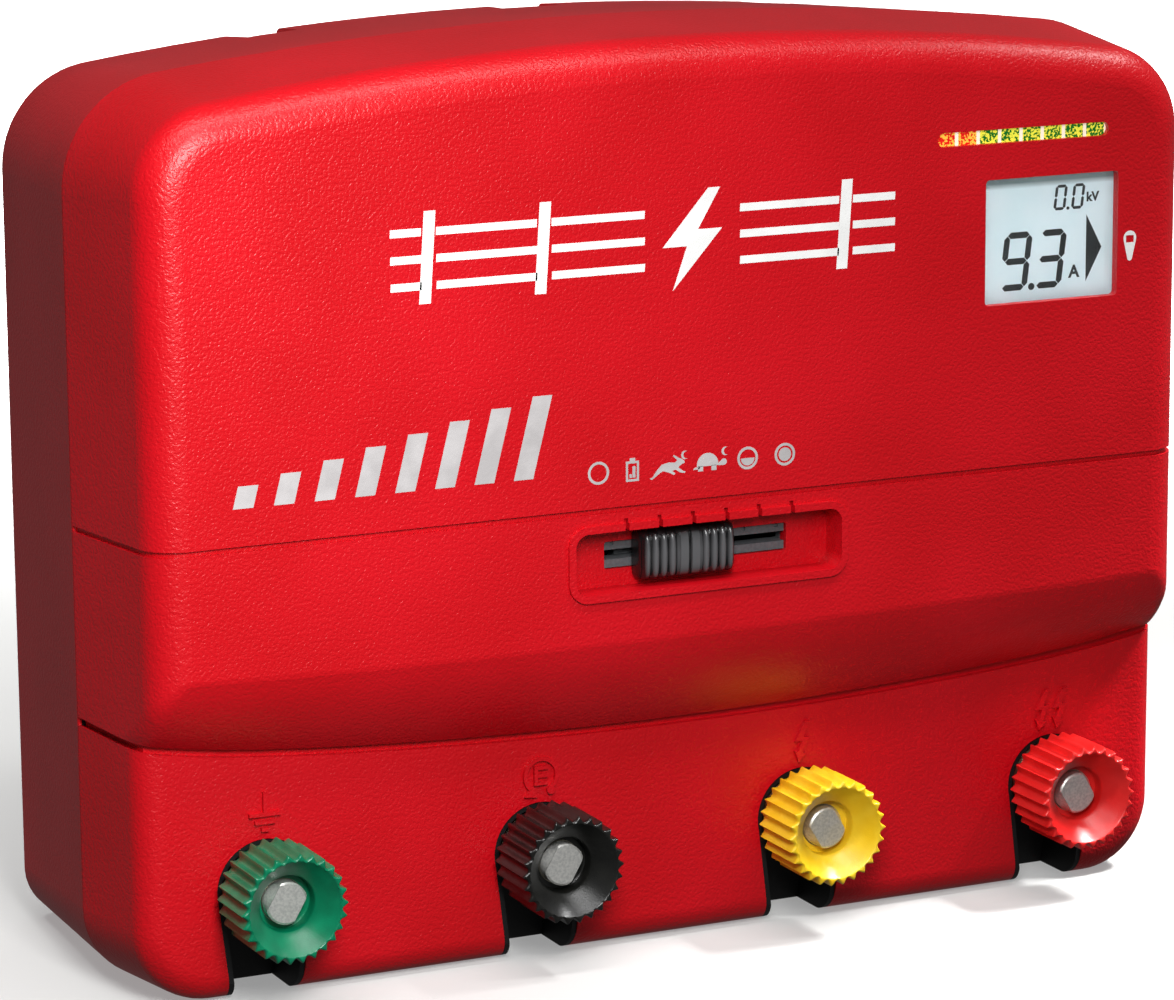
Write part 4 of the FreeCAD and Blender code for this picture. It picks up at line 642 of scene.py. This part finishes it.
# Wiper strips. Carbon ink printed on the display board under the slide's wiper.
# They show dark through the slot beside the slide.
carbon, tree, shader = finish("printed_carbon", 0.7)
drift(tree, shader, "141416", "1E1E20", 1.0)
solid("wiper_strips", *filled([[block(-35.0, 43.0, 86.0, 93.6)], [block(-35.0, 43.0, 93.9, 102.0)]], 77.5, 77.68),
      carbon, "case", "circuit_board")

# Capacitors and surge tubes. Blue shrink sleeve over the cans.
# It has a soft sheen and faint wrinkles where it was shrunk.
sleeve, tree, shader = finish("blue_shrink_sleeve", 0.3)
drift(tree, shader, "1C2C66", "263878", 8.0)
relief(tree, shader, (noise(tree, 4.0), 0.05))
coat(sleeve, "storage_capacitors", "surge_arrestors")

# Transformer. Varnished iron sheets 1 mm thick, and coils wrapped in yellow polyester tape.
# The tape lies slightly wavy over the turns.
SHEET_MM = 1.0
sheets, tree, shader = finish("varnished_iron_sheets", 0.45, 0.6)
drift(tree, shader, "2A2A2E", "3C3A3C", 2.0)
relief(tree, shader, (put(tree, "ShaderNodeTexWave", [("bands_direction", "Y")], Vector=place(tree),
                          Scale=100.0 * math.pi / SHEET_MM), 0.08))
coat(sheets, "transformer_core")
tape, tree, shader = finish("yellow_polyester_tape", 0.3)
drift(tree, shader, "C8901A", "D8A428", 6.0)
relief(tree, shader, (noise(tree, 2.5), 0.06))
coat(tape, "transformer_winding", "charge_winding")

# Ferrite core, thyristor and heat sink. Ground grey ceramic, black epoxy and extruded aluminium.
# The aluminium has fine lines along its depth.
ceramic, tree, shader = finish("ground_ferrite", 0.6)
drift(tree, shader, "1E1E20", "2A2A2C", 0.8)
coat(ceramic, "charge_core")
epoxy, tree, shader = finish("black_epoxy_package", 0.5)
drift(tree, shader, "0E0E10", "161618", 1.0)
relief(tree, shader, (noise(tree, 0.3), 0.015))
coat(epoxy, "thyristor")
alloy, tree, shader = finish("extruded_aluminium", 0.35, 1.0)
drift(tree, shader, "B4B6BA", "C6C8CC", 1.5)
drawn = put(tree, "ShaderNodeMapping", Vector=place(tree), Scale=(1.0, 0.02, 1.0))
relief(tree, shader, (put(tree, "ShaderNodeTexNoise", Vector=drawn, Scale=2500.0), 0.01))
coat(alloy, "heat_sink")

# Fuse. A glass tube, slightly green, held in its two clips on the main board.
# The clips are tinned and have their own section above.
glass, tree, shader = finish("fuse_glass", 0.05, IOR=1.5, Transmission_Weight=0.8)
drift(tree, shader, "DCEAE6", "E8F2F0", 5.0)
coat(glass, "fuse")

# Floor, backdrop and lights. A pale paper sweep curves up behind the object; it isn't part of it.
# A small soft light at the front left shapes the face and a long strip overhead draws the rim.
# The paper is left out of bounced and mirrored light, so it throws nothing back on the case.
def sweep():
    """Floor just under the base, quarter arc of radius bend and wall, as two long edges."""
    bend, reach, low = 0.8, 1.6, 0.0003
    angle = np.linspace(0.0, math.pi / 2, 40)
    y = np.concatenate([[-3.0], reach + bend * np.sin(angle), [reach + bend]])
    z = np.concatenate([[0.0], bend * (1 - np.cos(angle)), [4.0]]) - low
    points = np.column_stack([np.tile([-4.0, 4.0], len(y)), np.repeat(y, 2), np.repeat(z, 2)])
    return points, strips(len(y), 2, closed=False)


paper, tree, shader = finish("grey_seamless_paper", 0.95, Specular_IOR_Level=0.1, Emission_Strength=0.3)
drift(tree, shader, "B4B4B2", "BABAB8", 300.0)
shader.inputs["Emission Color"].default_value = linear("FFFFFF")
mesh = bpy.data.meshes.new("paper_sweep")
points, faces = sweep()
mesh.from_pydata(points.tolist(), [], faces)
mesh.shade_smooth()
mesh.materials.append(paper)
floor = bpy.data.objects.new("paper_sweep", mesh)
bpy.context.scene.collection.objects.link(floor)
floor.visible_diffuse = False
floor.visible_glossy = False


def lamp(name, at, look, size, watts, spread):
    """Rectangular soft light that faces a point and spreads over an angle in degrees."""
    data = bpy.data.lights.new(name, "AREA")
    data.shape = "RECTANGLE"
    data.size, data.size_y = size
    data.energy = watts
    data.spread = math.radians(spread)
    light = bpy.data.objects.new(name, data)
    light.location = at
    light.rotation_euler = (Vector(look) - Vector(at)).to_track_quat("-Z", "Y").to_euler()
    bpy.context.scene.collection.objects.link(light)


lamp("key", (-0.17, -0.42, 0.32), (-0.14, 0.0, 0.09), (0.14, 0.18), 0.74, 94.0)
lamp("strip", (-0.10, -0.25, 0.68), (-0.08, -0.04, 0.2), (0.8, 0.08), 1.15, 110.0)
lamp("floor_light", (0.60, 1.1, 1.7), (0.60, 1.1, 0.0), (0.8, 0.8), 48.0, 56.0)
lamp("near_floor_light", (0.62, -0.16, 0.8), (0.30, -0.14, 0.0), (0.2, 0.2), 2.5, 36.0)
lamp("left_floor_light", (-0.60, 0.35, 0.95), (-0.60, 0.35, 0.0), (0.3, 0.3), 9.0, 54.0)
lamp("front_floor_light", (-0.05, -0.55, 0.9), (-0.05, -0.55, 0.0), (0.3, 0.3), 4.0, 44.0)
world = bpy.data.worlds.new("room")
world.use_nodes = True
world.node_tree.nodes["Background"].inputs["Color"].default_value = (1.0, 1.0, 1.0, 1.0)
world.node_tree.nodes["Background"].inputs["Strength"].default_value = 0.12
bpy.context.scene.world = world
bpy.context.scene.view_settings.view_transform = "Standard"
